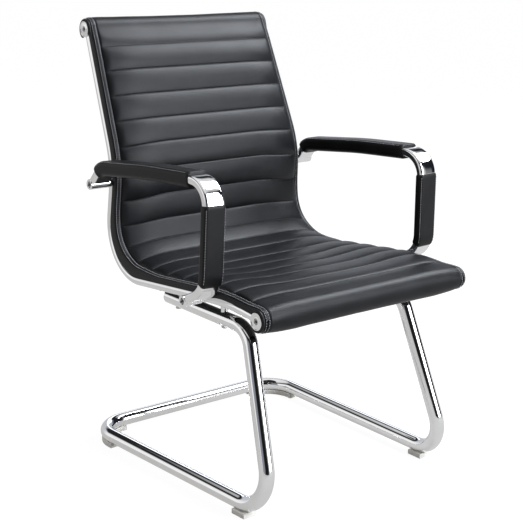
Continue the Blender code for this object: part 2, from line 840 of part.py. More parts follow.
def base_spacers():
    """Short pillars between the tube and the cross bars, saddled to both."""
    bores = []
    bars = []
    for mount in (lower_arm_mount, rear_bar_mount):
        height = cross_bar_centre(mount)
        width = 2 * TUBE_SHOULDER_HALF_WIDTH
        bars.append(((-width, mount.x, height), (width, mount.x, height), CROSS_BAR_RADIUS + CLEARANCE))
        for side in SIDES.values():
            x = side * TUBE_SHOULDER_HALF_WIDTH
            bores.append(((x, mount.x, 0.0), (x, mount.x, 2 * height), BASE_BOLT_RADIUS + CLEARANCE))
    runs = []
    for side in SIDES.values():
        x = side * TUBE_SHOULDER_HALF_WIDTH
        rear = (x, TUBE_END_REACH, TUBE_END_HEIGHT)
        front = (x, TUBE_SHOULDER_REACH, TUBE_SHOULDER_HEIGHT)
        runs.append((rear, front, TUBE_RADIUS + CLEARANCE))
    bar_cutter = cylinders_cutter("spacer_bar_saddle", bars, TURNED_SIDES)
    run_cutter = cylinders_cutter("spacer_tube_saddle", runs, TURNED_SIDES)
    bore_cutter = cylinders_cutter("spacer_bores", bores)
    for end_name, mount in (("front", lower_arm_mount), ("rear", rear_bar_mount)):
        for side_name, side in SIDES.items():
            x = side * TUBE_SHOULDER_HALF_WIDTH
            low = (x, mount.x, tube_run_height(mount.x) + TUBE_RADIUS / 2)
            high = (x, mount.x, cross_bar_centre(mount) - CROSS_BAR_RADIUS / 2)
            spacer = object_from(
                lambda bm: cylinder(bm, low, high, SPACER_RADIUS, TURNED_SIDES),
                "base_spacer_" + end_name + "_" + side_name,
            )
            cut(spacer, bar_cutter)
            cut(spacer, run_cutter)
            cut(spacer, bore_cutter)
            finish_piece(spacer, CHROME)


def base_bolts():
    """Bolts from under the upper runs, through the spacers and into the cross bars."""
    for end_name, mount in (("front", lower_arm_mount), ("rear", rear_bar_mount)):
        seat = tube_run_height(mount.x) - TUBE_RADIUS - LEANING_CLEARANCE
        tip = cross_bar_centre(mount) - CROSS_BAR_RADIUS + BASE_BOLT_GRIP - seat
        bevel = BASE_BOLT_HEAD / 2
        profile = [
            (0, -BASE_BOLT_HEAD),
            (BASE_BOLT_HEAD_RADIUS - bevel, -BASE_BOLT_HEAD),
            (BASE_BOLT_HEAD_RADIUS, bevel - BASE_BOLT_HEAD),
            (BASE_BOLT_HEAD_RADIUS, 0),
            (BASE_BOLT_RADIUS, 0),
            (BASE_BOLT_RADIUS, tip),
            (0, tip),
        ]
        for side_name, side in SIDES.items():
            name = "base_bolt_" + end_name + "_" + side_name
            centre = (side * TUBE_SHOULDER_HALF_WIDTH, mount.x, seat)
            turned_piece(name, profile, STEEL, centre, UP, SCREW_SIDES)


# Arm loops, barrels, bolts and sleeves

def arm_x(side, place):
    """The middle of an arm, which leans a little inwards towards its top."""
    return side * (ARM_CENTRE + ARM_LEAN * (ARM_ELBOW_HEIGHT - place[1]))


def arm_loops():
    """Flat oval tubes bent into loops, ended against their barrels."""
    clearances = []
    for side in SIDES.values():
        for place in (upper_arm_mount, lower_arm_mount):
            inner = side * (ARM_CENTRE - ARM_BAR_WIDTH)
            outer = side * (ARM_CENTRE + ARM_BAR_WIDTH)
            ends = ((inner, place.x, place.y), (outer, place.x, place.y))
            clearances.append((*ends, BARREL_RADIUS + CLEARANCE))
    barrel_room = cylinders_cutter("arm_barrel_room", clearances, TURNED_SIDES)
    grown = ellipse(RAIL_THICKNESS / 2 + CLEARANCE, RAIL_DEPTH / 2 + CLEARANCE, RAIL_SIDES)
    rail_rooms = {}
    for side_name, side in SIDES.items():
        name = "arm_rail_room_" + side_name
        rail_rooms[side_name] = mark_cutter(object_from(lambda bm: swept(bm, rail_path(side), grown), name))
    outer = rounded_rectangle(ARM_BAR_WIDTH, ARM_BAR_THICKNESS, ARM_BAR_EDGE_RADIUS)
    wall = ARM_BAR_WALL
    bore = rounded_rectangle(
        ARM_BAR_WIDTH - 2 * wall,
        ARM_BAR_THICKNESS - 2 * wall,
        ARM_BAR_EDGE_RADIUS - wall,
    )
    ends = (TOP_SLEEVE_START, top_sleeve_end, front_sleeve_start, front_sleeve_end)
    for side_name, side in SIDES.items():
        path = in_plane(
            arm_line,
            stations(arm_line, extra=ends),
            lambda place: arm_x(side, place),
        )
        loop = object_from(lambda bm: swept(bm, path, outer, bore), "arm_loop_" + side_name)
        cut(loop, barrel_room)
        cut(loop, rail_rooms[side_name])
        finish_piece(loop, CHROME)


def arm_sleeves():
    """Padded leather sleeves round the level and the upright part of each loop."""
    inner = rounded_rectangle(
        ARM_BAR_WIDTH + 2 * CLEARANCE,
        ARM_BAR_THICKNESS + 2 * CLEARANCE,
        ARM_BAR_EDGE_RADIUS + CLEARANCE,
    )
    top = rounded_rectangle(TOP_SLEEVE_WIDTH, TOP_SLEEVE_THICKNESS, TOP_SLEEVE_EDGE_RADIUS)
    front = rounded_rectangle(FRONT_SLEEVE_WIDTH, FRONT_SLEEVE_THICKNESS, FRONT_SLEEVE_EDGE_RADIUS)
    plans = {
        "arm_sleeve_top_": (top, TOP_SLEEVE_START, top_sleeve_end),
        "arm_sleeve_front_": (front, front_sleeve_start, front_sleeve_end),
    }
    for side_name, side in SIDES.items():
        for prefix, (section, start, end) in plans.items():
            path = in_plane(
                arm_line,
                stations(arm_line, start, end),
                lambda place: arm_x(side, place),
            )
            sleeve = object_from(lambda bm: swept(bm, path, section, inner), prefix + side_name)
            finish_piece(sleeve, LEATHER)


def arm_barrels():
    """Barrels at the ends of the loops, and the socket bolts through them into the rails."""
    for end_name, place in (("upper", upper_arm_mount), ("lower", lower_arm_mount)):
        rail_face = seam_end(place) + RAIL_OUTER + LEANING_CLEARANCE
        length = arm_x(1, place) + ARM_BAR_WIDTH / 2 + BARREL_PROUD - rail_face
        bore = ARM_BOLT_RADIUS + CLEARANCE
        head_bore = ARM_BOLT_HEAD_RADIUS + CLEARANCE
        head_floor = length - ARM_BOLT_SUNK - ARM_BOLT_HEAD - CLEARANCE
        bevel = ARM_BOLT_SUNK / 2
        barrel = [
            (bore, 0),
            (BARREL_RADIUS, 0),
            (BARREL_RADIUS, length - bevel),
            (BARREL_RADIUS - bevel, length),
            (head_bore, length),
            (head_bore, head_floor),
            (bore, head_floor),
        ]
        rail_inner = seam_end(place) + RAIL_GAP_FROM_SEAM
        into_bar = ARM_BOLT_GRIP if place == lower_arm_mount else -CLEARANCE
        tip = rail_inner - into_bar - rail_face
        head_seat = head_floor + CLEARANCE
        bolt = [
            (0, tip),
            (ARM_BOLT_RADIUS, tip),
            (ARM_BOLT_RADIUS, head_seat),
            (ARM_BOLT_HEAD_RADIUS, head_seat),
            (ARM_BOLT_HEAD_RADIUS, head_seat + ARM_BOLT_HEAD),
            (0, head_seat + ARM_BOLT_HEAD),
        ]
        for side_name, side in SIDES.items():
            label = end_name + "_" + side_name
            centre = (side * rail_face, place.x, place.y)
            outwards = Vector((side, 0, 0))
            turned_piece("arm_barrel_" + label, barrel, CHROME, centre, outwards)
            turned_piece("arm_bolt_" + label, bolt, STEEL, centre, outwards, SCREW_SIDES)


# Sling

def smooth(value):
    """Eased step from 0 to 1."""
    clamped = min(max(value, 0.0), 1.0)
    return clamped * clamped * (3 - 2 * clamped)


def seam_along(total, count):
    """Distance along the border surface of a seam, or of a place between two seams."""
    share = count / (SEAM_COUNT - 1)
    run = total - FIRST_SEAM - LAST_SEAM
    return FIRST_SEAM + run * (share - SEAM_SKEW * math.sin(math.pi * share))


def sling_rows():
    """Rows of the front face: distance along the border surface, and how full its rib is there."""
    border = offset_line(rail_line, PAD_SURFACE)
    total = line_length(border)
    rib_shape = ((0.2, 0.75), (0.5, 1.0), (0.8, 0.75))
    rows = [(0.0, 0.0), (FIRST_SEAM / 2, 0.5)]
    for seam in range(SEAM_COUNT):
        rows.append((seam_along(total, seam), 0.0))
        if seam < SEAM_COUNT - 1:
            rows.extend((seam_along(total, seam + share), full) for share, full in rib_shape)
    rows.extend([(total - LAST_SEAM / 2, 0.5), (total, 0.0)])
    return border, total, rows


def sling_columns(place, along, total, corner_middle, full):
    """The (offset across the seams' ends, height over the rail line) pairs of one row."""
    from_end = min(along, total - along)
    blend = smooth((ROLL_BLEND - from_end) / ROLL_BLEND)
    up_back = smooth((place.y - SEAT_KNEE_HEIGHT) / (LUMBAR_HEIGHT - SEAT_KNEE_HEIGHT) * 2)
    surface = PAD_SURFACE + up_back * BACK_EXTRA_THICKNESS
    surface += CORNER_FILL * smooth(1 - abs(along - corner_middle) / CORNER_FILL_RUN)
    base = surface + blend * (ROLL_RADIUS - surface)
    drop = BORDER_DROP + blend * (ROLL_END_DROP - BORDER_DROP)
    down_back = smooth((BACK_TOP_HEIGHT - place.y) / (BACK_TOP_HEIGHT - SEAT_REAR_HEIGHT))
    crown = CROWN_BACK + down_back * (CROWN_SEAT - CROWN_BACK)
    crown *= smooth(from_end / CROWN_RUN)
    rib = RIB_HEIGHT * full * smooth(from_end / FIRST_SEAM * 2)
    return [
        (BORDER_WIDTH, base - drop),
        (0.0, base),
        (-CROWN_EDGE, base + CROWN_EDGE_SHARE * crown + rib),
        (-CROWN_SHOULDER, base + crown + rib),
        (None, base + crown + rib),
    ]


def sling_mesh(bm):
    """The sling as one closed body: ribbed front, plain back and a roll at each end."""
    border, total, rows = sling_rows()
    straights = border[:SEAT_BEND_SPAN]
    corner_middle = line_length(straights) + border[SEAT_BEND_SPAN][2] / 2

    def edge_pair(place, across=BORDER_WIDTH):
        half = seam_end(place) + across
        return [bm.verts.new(to_world((side * half, place.x, place.y))) for side in (-1, 1)]

    front = []
    for along, full in rows:
        index, fraction = locate(border, along)
        place, heading = point_on(rail_line, index, fraction)
        columns = sling_columns(place, along, total, corner_middle, full)
        row = []
        for side in (-1, 1):
            ordered = columns if side == -1 else columns[-2::-1]
            for across, rise in ordered:
                spot = place + rise * normal(heading)
                x = 0.0 if across is None else side * (seam_end(spot) + across)
                row.append(bm.verts.new(to_world((x, spot.x, spot.y))))
        front.append(row)

    # Rolls, from the front face round to the underside, smaller at their two ends
    roll_rings = ((BORDER_WIDTH, ROLL_RADIUS - ROLL_END_DROP), (0.0, ROLL_RADIUS))

    def roll(centre, heading, outwards):
        rows = []
        for step in range(1, ROLL_STEPS + 1):
            pairs = []
            for across, radius in roll_rings:
                last_angle = 2 * math.pi - math.acos(PAD_UNDERSIDE / radius)
                angle = last_angle * step / ROLL_STEPS
                along = outwards * math.sin(angle) * direction(heading)
                spot = centre + radius * (along + math.cos(angle) * normal(heading))
                pairs.append(edge_pair(spot, across))
            ends, inner = pairs
            rows.append([ends[0], inner[0], inner[1], ends[1]])
        return rows

    rail_length = line_length(rail_line)
    front_heading = on_line(rail_line, rail_length)[1]
    front_roll = roll(rail_front, front_heading, 1)
    top_roll = roll(rail_top, rail_line[0][1], -1)
    reached = ROLL_RADIUS * math.sin(math.acos(PAD_UNDERSIDE / ROLL_RADIUS))
    underside = []
    for distance in stations(rail_line):
        if reached < distance < rail_length - reached:
            place, heading = on_line(rail_line, distance)
            underside.append(edge_pair(place + PAD_UNDERSIDE * normal(heading)))

    for rows_of_face in (front, front_roll, underside, top_roll):
        for first, second in zip(rows_of_face, rows_of_face[1:]):
            for column in range(len(first) - 1):
                bm.faces.new((first[column], first[column + 1], second[column + 1], second[column]))
    for wide, rolled in ((front[-1], front_roll[0]), (front[0], top_roll[0])):
        bm.faces.new((wide[0], wide[1], rolled[1], rolled[0]))
        bm.faces.new((*wide[1:-1], rolled[2], rolled[1]))
        bm.faces.new((wide[-2], wide[-1], rolled[3], rolled[2]))
    bm.faces.new((*front_roll[-1], underside[-1][1], underside[-1][0]))
    bm.faces.new((*top_roll[-1], underside[0][1], underside[0][0]))
    around = front + front_roll + underside[::-1] + top_roll[::-1]
    for edge in (0, -1):
        bm.faces.new([row[edge] for row in around])


def roll_notches(bm):
    """Room in the ends of the rolls for the bosses and the last stretch of each rail."""
    grown = BOSS_RADIUS + CLEARANCE
    lip = PAD_UNDERSIDE + CLEARANCE * 3
    beyond = ROLL_RADIUS + RAIL_THICKNESS
    corner = math.asin(lip / grown)
    steps = TURNED_SIDES // 2
    plans = ((rail_top, rail_line[0][1], 1), (rail_front, on_line(rail_line, line_length(rail_line))[1], -1))
    for place, heading, inwards in plans:
        outline = [(beyond, -beyond), (beyond, lip)]
        for step in range(steps + 1):
            angle = corner + (math.pi - 2 * corner) * step / steps
            outline.append((grown * math.cos(angle), grown * math.sin(angle)))
        outline += [(-beyond, lip), (-beyond, -beyond)]
        for side in SIDES.values():
            rings = []
            for across in (RAIL_GAP_FROM_SEAM - LEANING_CLEARANCE, 2 * BOSS_STAND_OUT):
                x = side * (seam_end(place) + across)
                ring = []
                for along, out in outline:
                    spot = place + inwards * along * direction(heading) + out * normal(heading)
                    ring.append(bm.verts.new(to_world((x, spot.x, spot.y))))
                rings.append(ring)
            join_rings(bm, rings[0], rings[1])
            bm.faces.new(rings[0])
            bm.faces.new(rings[1])


def sling():
    pad = object_from(sling_mesh, "sling_pad")
    cut(pad, mark_cutter(object_from(roll_notches, "sling_notches")))
    bores = []
    for place in (rail_top, rail_front):
        half = 2 * SEAT_FRONT_HALF_WIDTH
        bores.append(((-half, place.x, place.y), (half, place.x, place.y), ROD_RADIUS + CLEARANCE))
    cut(pad, cylinders_cutter("sling_bores", bores, TURNED_SIDES))
    finish_piece(pad, LEATHER)


def back_cover_mesh(bm):
    """A thin skin that lies on the back of the sling, between the rails and the rolls."""
    reach_in = ROLL_RADIUS
    outer = RAIL_DEPTH / 2
    rings = []
    total = line_length(rail_line)
    for distance in stations(rail_line, reach_in, total - reach_in):
        place, heading = on_line(rail_line, distance)
        ring = []
        for side, rise in ((-1, outer), (1, outer), (1, outer - BACK_COVER_THICKNESS),
                           (-1, outer - BACK_COVER_THICKNESS)):
            spot = place + rise * normal(heading)
            half = seam_end(spot) + RAIL_GAP_FROM_SEAM - BACK_COVER_INSET
            ring.append(bm.verts.new(to_world((side * half, spot.x, spot.y))))
        rings.append(ring)
    for first, second in zip(rings, rings[1:]):
        join_rings(bm, first, second)
    bm.faces.new(rings[0])
    bm.faces.new(rings[-1])


base_tube()
tube_plugs()
glides()
glide_screws()
side_rails()
stretcher_rods()
end_bosses()
cross_bars()
base_spacers()
base_bolts()
arm_loops()
arm_sleeves()
arm_barrels()
sling()
finish_piece(object_from(back_cover_mesh, "sling_back_cover"), BACKING)
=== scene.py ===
"""Looks of the cantilever visitor chair: ribbed leather, sewn edges, chrome and glides.

Units are metres in the frame's axes: +Z is up, +Y is backwards and +X is to the right of someone
who looks at the front of the chair. Places in the side view are (reach, height), with the reach
measured forwards from the axis of the tube's rear cross run.
"""
import json
import math

import bmesh
import bpy
from mathutils import Matrix, Vector, noise


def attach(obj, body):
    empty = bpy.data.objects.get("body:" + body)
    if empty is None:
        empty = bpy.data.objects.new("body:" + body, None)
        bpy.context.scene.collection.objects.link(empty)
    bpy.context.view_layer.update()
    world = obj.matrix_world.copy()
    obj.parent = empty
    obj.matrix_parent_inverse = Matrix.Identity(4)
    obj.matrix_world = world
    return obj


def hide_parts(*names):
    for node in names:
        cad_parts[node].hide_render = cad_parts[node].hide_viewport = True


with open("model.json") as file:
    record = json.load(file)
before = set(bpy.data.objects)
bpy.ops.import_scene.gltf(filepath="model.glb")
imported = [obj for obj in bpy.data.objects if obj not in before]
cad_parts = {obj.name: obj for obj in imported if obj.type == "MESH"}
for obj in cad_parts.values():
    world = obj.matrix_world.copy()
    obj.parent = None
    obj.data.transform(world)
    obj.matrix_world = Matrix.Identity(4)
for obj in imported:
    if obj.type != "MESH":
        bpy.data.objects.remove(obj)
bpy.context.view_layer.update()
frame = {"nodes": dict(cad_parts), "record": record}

# Sizes of the frame that the looks follow
TUBE_RADIUS = 0.015
TUBE_WALL = 0.002
TUBE_AXIS = 0.023
TUBE_REAR_HALF_WIDTH = 0.2572
TUBE_FRONT_HALF_WIDTH = 0.2354
TUBE_SHOULDER_HALF_WIDTH = 0.202
TUBE_FRONT_REACH = 0.612
TUBE_SHOULDER = (0.4958, 0.3604)
TUBE_END = (0.2308, 0.3672)
TUBE_BENDS = (0.05, 0.067, 0.072)

RAIL_CORNERS = ((-0.024, 0.898), (0.085, 0.622), (0.062, 0.388), (0.497, 0.42), (0.597, 0.4086))
RAIL_BENDS = (0.2, 0.11, 0.6)
SEAT_BEND_SPAN = 3
RAIL_THICKNESS = 0.009
RAIL_DEPTH = 0.0155
BACK_TOP_HALF_WIDTH = 0.2187
SEAT_REAR_HALF_WIDTH = 0.2412
SEAT_FRONT_HALF_WIDTH = 0.2465
RAIL_GAP = 0.005

BORDER_WIDTH = 0.013
PAD_UNDERSIDE = 0.00805
PAD_SURFACE = 0.02105
BACK_EXTRA_THICKNESS = 0.005
BORDER_DROP = 0.009
CORNER_FILL = 0.0135
CORNER_FILL_SHIFT = 0.022
CORNER_FILL_RUN = 0.14
ROLL_END_DROP = 0.006
ROLL_RADIUS = 0.024
ROLL_BLEND = 0.045
ROD_RADIUS = 0.007
BOSS_RADIUS = 0.0165
BOSS_STAND_OUT = 0.0175
CLEARANCE = 0.0003

ARM_CENTRE = 0.2735
ARM_LEAN = 0.026
ARM_BAR = (0.043, 0.0175, 0.0055)
UPPER_ARM_HEIGHT = 0.589
LOWER_ARM_REACH = 0.419
ARM_CORNERS = ((0.116, 0.627), (0.29, 0.642), (0.4877, 0.649), (0.48, 0.443))
ARM_BENDS = (0.04, 1.5, 0.046, 0.055)
BARREL_RADIUS = 0.011
BARREL_PROUD = 0.0005
HEX_RADIUS = 0.0034
HEX_DEPTH = 0.0028
SCREW_HOLE_RADIUS = 0.0033
SMALL_BEVEL = 0.0003
TOP_SLEEVE = (0.046, 0.0305, 0.0095)
TOP_SLEEVE_START = 0.036
TOP_SLEEVE_LENGTH = 0.334
ELBOW_BARE_LENGTH = 0.0725
FRONT_SLEEVE = (0.047, 0.02, 0.0065)
FRONT_SLEEVE_LENGTH = 0.1525
SLEEVE_TUCK = 0.0035
SLEEVE_TUCK_RUN = 0.004
SLEEVE_STITCH_ANGLE = math.radians(50)

GLIDE_HEIGHT = 0.0105
GLIDE_EDGE = 0.0012
FRONT_GLIDE_REACH = TUBE_FRONT_REACH - 0.0855
FRONT_GLIDE_HALF_LENGTH = 0.0185
FRONT_GLIDE_WIDTH = 0.0305
REAR_GLIDE_START = 0.18
REAR_GLIDE_REACH = 0.084
REAR_GLIDE_WIDTH = 0.025

# Ribs and seams of the sling
SEAM_COUNT = 17
FIRST_SEAM = 0.048
LAST_SEAM = 0.04
SEAM_SKEW = 0.0065
CROWN_BACK = 0.009
CROWN_BEND = 0.013
CROWN_FRONT = 0.005
CROWN_RUN = 0.09
CROWN_REACH = 0.085
SEAT_HOLLOW = 0.009
HOLLOW_REST = 0.07
HOLLOW_FADE = 0.16
HOLLOW_RUN = 0.13
HOLLOW_WIDTH = 0.16
SEAM_BOW = 0.01
BOW_SEAM = 6
BOW_RUN = 0.19
BOW_WIDTH = 0.12
CROWN_POWER = 2.3
RIB_HEIGHT = 0.0052
RIB_POWER = 0.55
RIB_END = 0.013
SEAM_DEPTH = 0.0012
ROLL_SAG = 0.0015
SOFTNESS = 0.0005
SOFTNESS_SCALE = 18
FINE_SOFTNESS = 0.4
FINE_SCALE = 55
END_PANEL_FULLNESS = 0.5
END_PANEL_POWER = 6
END_PANEL_FADE = 1.4
LINER_THICKNESS = 0.0012
LINER_PUFF = 0.0022
LINER_EDGE = 0.012
LINER_INSET = 0.002
LINER_ROWS = 260
LINER_COLUMNS = 24
BORDER_SQUARENESS = 0.62
WELT_WIDTH = 0.0048
WELT_DEPTH = 0.005
WELT_ROUND = 0.0018
WELT_LEAD = 0.03
WELT_TURN = math.radians(230)
WELT_STEPS = 64
WELT_THIN = 0.15

# Levels that the metal mirrors, round the walls from -X by -Y, +X and +Y, and up to the ceiling
WALLS = (
    (0.0, 1.0), (0.02, (0.28, 0.29, 0.32)), (0.085, (0.25, 0.26, 0.3)), (0.11, 0.012), (0.23, 0.012),
    (0.27, 1.0), (0.36, 1.0), (0.385, (0.012, 0.014, 0.02)), (0.545, (0.015, 0.018, 0.025)),
    (0.6, (0.5, 0.53, 0.6)), (0.78, (0.62, 0.63, 0.66)), (0.86, 1.0), (1.0, 1.0),
)
CEILING = ((0.5, 0.015), (0.63, 0.02), (0.72, 0.75), (1.0, 0.95))
WALL_TOP = ((0.4, 0.0), (0.52, 1.0))
COOL = (0.9, 0.94, 1.0)
WHITE = (1.0, 1.0, 1.0, 1.0)

# Name, place, width and height, and power of the lamps
LAMPS = (
    ("front_softbox", (1.15, -2.6, 1.45), (1.3, 2.4), 100),
    ("top_softbox", (1.9, -0.5, 2.9), (1.6, 1.8), 138),
    ("rear_softbox", (2.1, 2.7, 1.5), (1.8, 0.8), 6),
)

# Stitches
STITCH_PITCH = 0.005
STITCH_LENGTH = 0.0036
STITCH_WIDTH = 0.0011
STITCH_SIDES = 6
STITCH_ROWS = (0.07, 0.44)
STITCH_WRAP = math.radians(200)
STITCH_RINGS = ((-0.5, 0.35, -0.1), (-0.28, 1.0, 0.35), (0.28, 1.0, 0.35), (0.5, 0.35, -0.1))

SIDES = {"left": -1, "right": 1}
BEND_STEP = math.radians(3)
SHARP_ANGLE = math.radians(38)
ALONG_X = Vector((1, 0, 0))
ALONG_Z = Vector((0, 0, 1))
ORIGIN = (0.0, 0.0, 0.0)
DATUM_Y = (RAIL_CORNERS[0][0] + RAIL_CORNERS[-1][0]) / 2


def to_world(point):
    """Turns (x, reach, height) into world coordinates."""
    return Vector((point[0], DATUM_Y - point[1], point[2]))


def world_direction(out):
    """Turns a direction in the side view into one in the world."""
    return Vector((0.0, -out.x, out.y))


# Lines in the side view, kept as spans of (start, heading, length, turn)

def direction(heading):
    return Vector((math.cos(heading), math.sin(heading)))


def normal(heading):
    return Vector((-math.sin(heading), math.cos(heading)))


def spans_through(corners, radii):
    """A line through the corners, with each inner corner rounded to its radius."""
    points = [Vector(corner) for corner in corners]
    headings = [math.atan2(*(second - first).yx) for first, second in zip(points, points[1:])]
    spans = []
    start = points[0]
    for index, radius in enumerate(radii):
        turn = headings[index + 1] - headings[index]
        tangent = radius * math.tan(abs(turn) / 2)
        corner = points[index + 1]
        before = corner - tangent * direction(headings[index])
        spans.append((start, headings[index], (before - start).length, 0.0))
        spans.append((before, headings[index], radius * abs(turn), turn))
        start = corner + tangent * direction(headings[index + 1])
    spans.append((start, headings[-1], (points[-1] - start).length, 0.0))
    return spans


def point_on(spans, index, fraction):
    """The point and the heading at a fraction of one span."""
    start, heading, length, turn = spans[index]
    if turn == 0:
        return start + fraction * length * direction(heading), heading
    radius = length / turn
    here = heading + fraction * turn
    return start + radius * (normal(heading) - normal(here)), here


def line_length(spans):
    return sum(span[2] for span in spans)


def locate(spans, distance):
    """The span and the fraction of it that lie at a distance along the line."""
    for index, span in enumerate(spans):
        if distance <= span[2]:
            return index, distance / span[2]
        distance -= span[2]
    return len(spans) - 1, 1.0


def on_line(spans, distance):
    return point_on(spans, *locate(spans, distance))


def distance_where(spans, axis, value):
    """How far along the line its reach (axis 0) or height (axis 1) first passes a value."""
    total = line_length(spans)
    probes = 400
    before = on_line(spans, 0.0)[0][axis] - value
    for probe in range(1, probes + 1):
        after = on_line(spans, total * probe / probes)[0][axis] - value
        if before * after <= 0:
            return total * (probe - 1 + before / (before - after)) / probes
        before = after
    return total


def spaced(distances, gap):
    """Distances in order, without those that lie within a gap of the one before."""
    kept = []
    for distance in sorted(distances):
        if not kept or distance - kept[-1] > gap:
            kept.append(distance)
    return kept


def stations(spans, start, end):
    """Distances along a line, close together in its bends."""
    found = [start, end]
    travelled = 0.0
    for span in spans:
        steps = max(1, math.ceil(abs(span[3]) / BEND_STEP))
        found.extend(travelled + span[2] * step / steps for step in range(steps))
        travelled += span[2]
    kept = spaced((distance for distance in found if start <= distance <= end), CLEARANCE)
    kept[-1] = end
    return kept


# Meshes

def add_object(name, data, location=ORIGIN, rotation=ORIGIN):
    made = bpy.data.objects.new(name, data)
    made.location = location
    made.rotation_euler = rotation
    bpy.context.scene.collection.objects.link(made)
    return made


def mesh_object(name, fill_mesh, location=ORIGIN):
    """An object whose mesh a function makes."""
    bm = bmesh.new()
    fill_mesh(bm)
    bmesh.ops.recalc_face_normals(bm, faces=bm.faces)
    mesh = bpy.data.meshes.new(name)
    bm.to_mesh(mesh)
    bm.free()
    return add_object(name, mesh, location)


def smooth_shade(mesh):
    mesh.shade_smooth()
    mesh.set_sharp_from_angle(angle=SHARP_ANGLE)


def piece_from(fill_mesh, name, look, replaced=()):
    """Makes a piece of the chair from a mesh function, dressed and riding on the frame."""
    piece = mesh_object(name, fill_mesh)
    piece.data.materials.append(look)
    smooth_shade(piece.data)
    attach(piece, "root")
    if replaced:
        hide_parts(*replaced)
    return piece


def cut_away(piece, fill_mesh):
    """Cuts a shape out of a piece for good."""
    room = mesh_object("room", fill_mesh)
    modifier = piece.modifiers.new("room", "BOOLEAN")
    modifier.operation = "DIFFERENCE"
    modifier.solver = "EXACT"
    modifier.object = room
    bpy.context.view_layer.update()
    evaluated = piece.evaluated_get(bpy.context.evaluated_depsgraph_get())
    cut_mesh = bpy.data.meshes.new_from_object(evaluated)
    piece.modifiers.clear()
    piece.data = cut_mesh
    bpy.data.objects.remove(room)
    smooth_shade(cut_mesh)


def join_rows(bm, rows):
    """Faces between open rows of points."""
    for first, second in zip(rows, rows[1:]):
        for column in range(len(first) - 1):
            bm.faces.new((first[column], first[column + 1], second[column + 1], second[column]))


def join_rings(bm, rings):
    """Faces between closed rings of points."""
    join_rows(bm, [[*ring, ring[0]] for ring in rings])


def join_bar(bm, rings):
    """A bar from its rings, closed at both ends."""
    join_rings(bm, rings)
    bm.faces.new(rings[0])
    bm.faces.new(rings[-1])


def rounded_path(corners, radii):
    """A path of (point, tangent) in space through the corners, with arcs at the inner ones."""
    points = [Vector(corner) for corner in corners]
    path = [(points[0], (points[1] - points[0]).normalized())]
    for index, radius in enumerate(radii):
        corner = points[index + 1]
        coming = (corner - points[index]).normalized()
        going = (points[index + 2] - corner).normalized()
        turn = coming.angle(going)
        start = corner - radius * math.tan(turn / 2) * coming
        towards_centre = (going - coming * coming.dot(going)).normalized()
        centre = start + radius * towards_centre
        steps = math.ceil(turn / BEND_STEP)
        for step in range(steps + 1):
            angle = turn * step / steps
            out = math.sin(angle) * coming - math.cos(angle) * towards_centre
            tangent = math.cos(angle) * coming + math.sin(angle) * towards_centre
            path.append((centre + radius * out, tangent))
    path.append((points[-1], (points[-1] - points[-2]).normalized()))
    return path


def in_plane(spans, distances, x_of):
    """The same kind of path from a side-view line, with x given by a function of the place."""
    path = []
    for distance in distances:
        place, heading = on_line(spans, distance)
        step = ROLL_RADIUS * direction(heading)
        tangent = Vector((x_of(place + step) - x_of(place), *step))
        path.append((Vector((x_of(place), *place)), tangent.normalized()))
    return path


def section_frames(path, side):
    """The two directions across a path, carried along it without twist."""
    frames = []
    previous = path[0][1]
    across = (side - side.dot(previous) * previous).normalized()
    for _, tangent in path:
        across = previous.rotation_difference(tangent) @ across
        across = (across - across.dot(tangent) * tangent).normalized()
        frames.append((across, tangent.cross(across)))
        previous = tangent
    return frames


def swept(bm, path, section, bore=None, side=ALONG_X):
    """A bar along a path, or a tube with a bore. A section can be a function of the station."""
    frames = section_frames(path, side)
    skins = []
    for skin in (section,) if bore is None else (section, bore):
        rings = []
        for station, ((point, _), (across, up)) in enumerate(zip(path, frames)):
            outline = skin(station) if callable(skin) else skin
            rings.append([bm.verts.new(to_world(point + a * across + b * up)) for a, b in outline])
        skins.append(rings)
    if bore is None:
        join_bar(bm, skins[0])
        return
    for rings in skins:
        join_rings(bm, rings)
    for end in (0, -1):
        join_rings(bm, [rings[end] for rings in skins])


def crosswise(bm, place, x_ends, section):
    """A bar across the chair between two values of x."""
    path = [(Vector((x, *place)), ALONG_X) for x in x_ends]
    swept(bm, path, section, None, ALONG_Z)


def ellipse(half_width, half_depth, sides=40):
    corners = []
    for corner in range(sides):
        angle = math.tau * (corner + 0.5) / sides
        corners.append((half_width * math.cos(angle), half_depth * math.sin(angle)))
    return corners


def rounded_rectangle(width, thickness, radius, steps=7, flats=4):
    """A rounded rectangle with points along its flats too, so that it can swell."""
    corners = []
    for quarter in range(4):
        centre_a = (width / 2 - radius) * (1 if quarter in (0, 3) else -1)
        centre_b = (thickness / 2 - radius) * (1 if quarter in (0, 1) else -1)
        for step in range(steps + 1):
            angle = math.pi / 2 * (quarter + step / steps)
            corners.append((centre_a + radius * math.cos(angle), centre_b + radius * math.sin(angle)))
        if quarter in (0, 2):
            run = (width - 2 * radius) * (-1 if quarter == 0 else 1)
            edge_a, edge_b = corners[-1]
            corners.extend((edge_a + run * share / flats, edge_b) for share in range(1, flats))
    return corners


def turned(bm, profile, sides=48):
    """A closed solid of revolution round local Z from (radius, z) points."""
    rings = []
    for radius, z in profile:
        angles = [math.tau * side / sides for side in range(1 if radius == 0 else sides)]
        rings.append([
            bm.verts.new((radius * math.cos(angle), radius * math.sin(angle), z)) for angle in angles
        ])
    if profile[0][0] > 0:
        rings.append(rings[0])
    for first, second in zip(rings, rings[1:]):
        for side in range(sides):
            following = (side + 1) % sides
            corners = [first[side % len(first)], first[following % len(first)]]
            corners += [second[following % len(second)], second[side % len(second)]]
            bm.faces.new(list(dict.fromkeys(corners)))


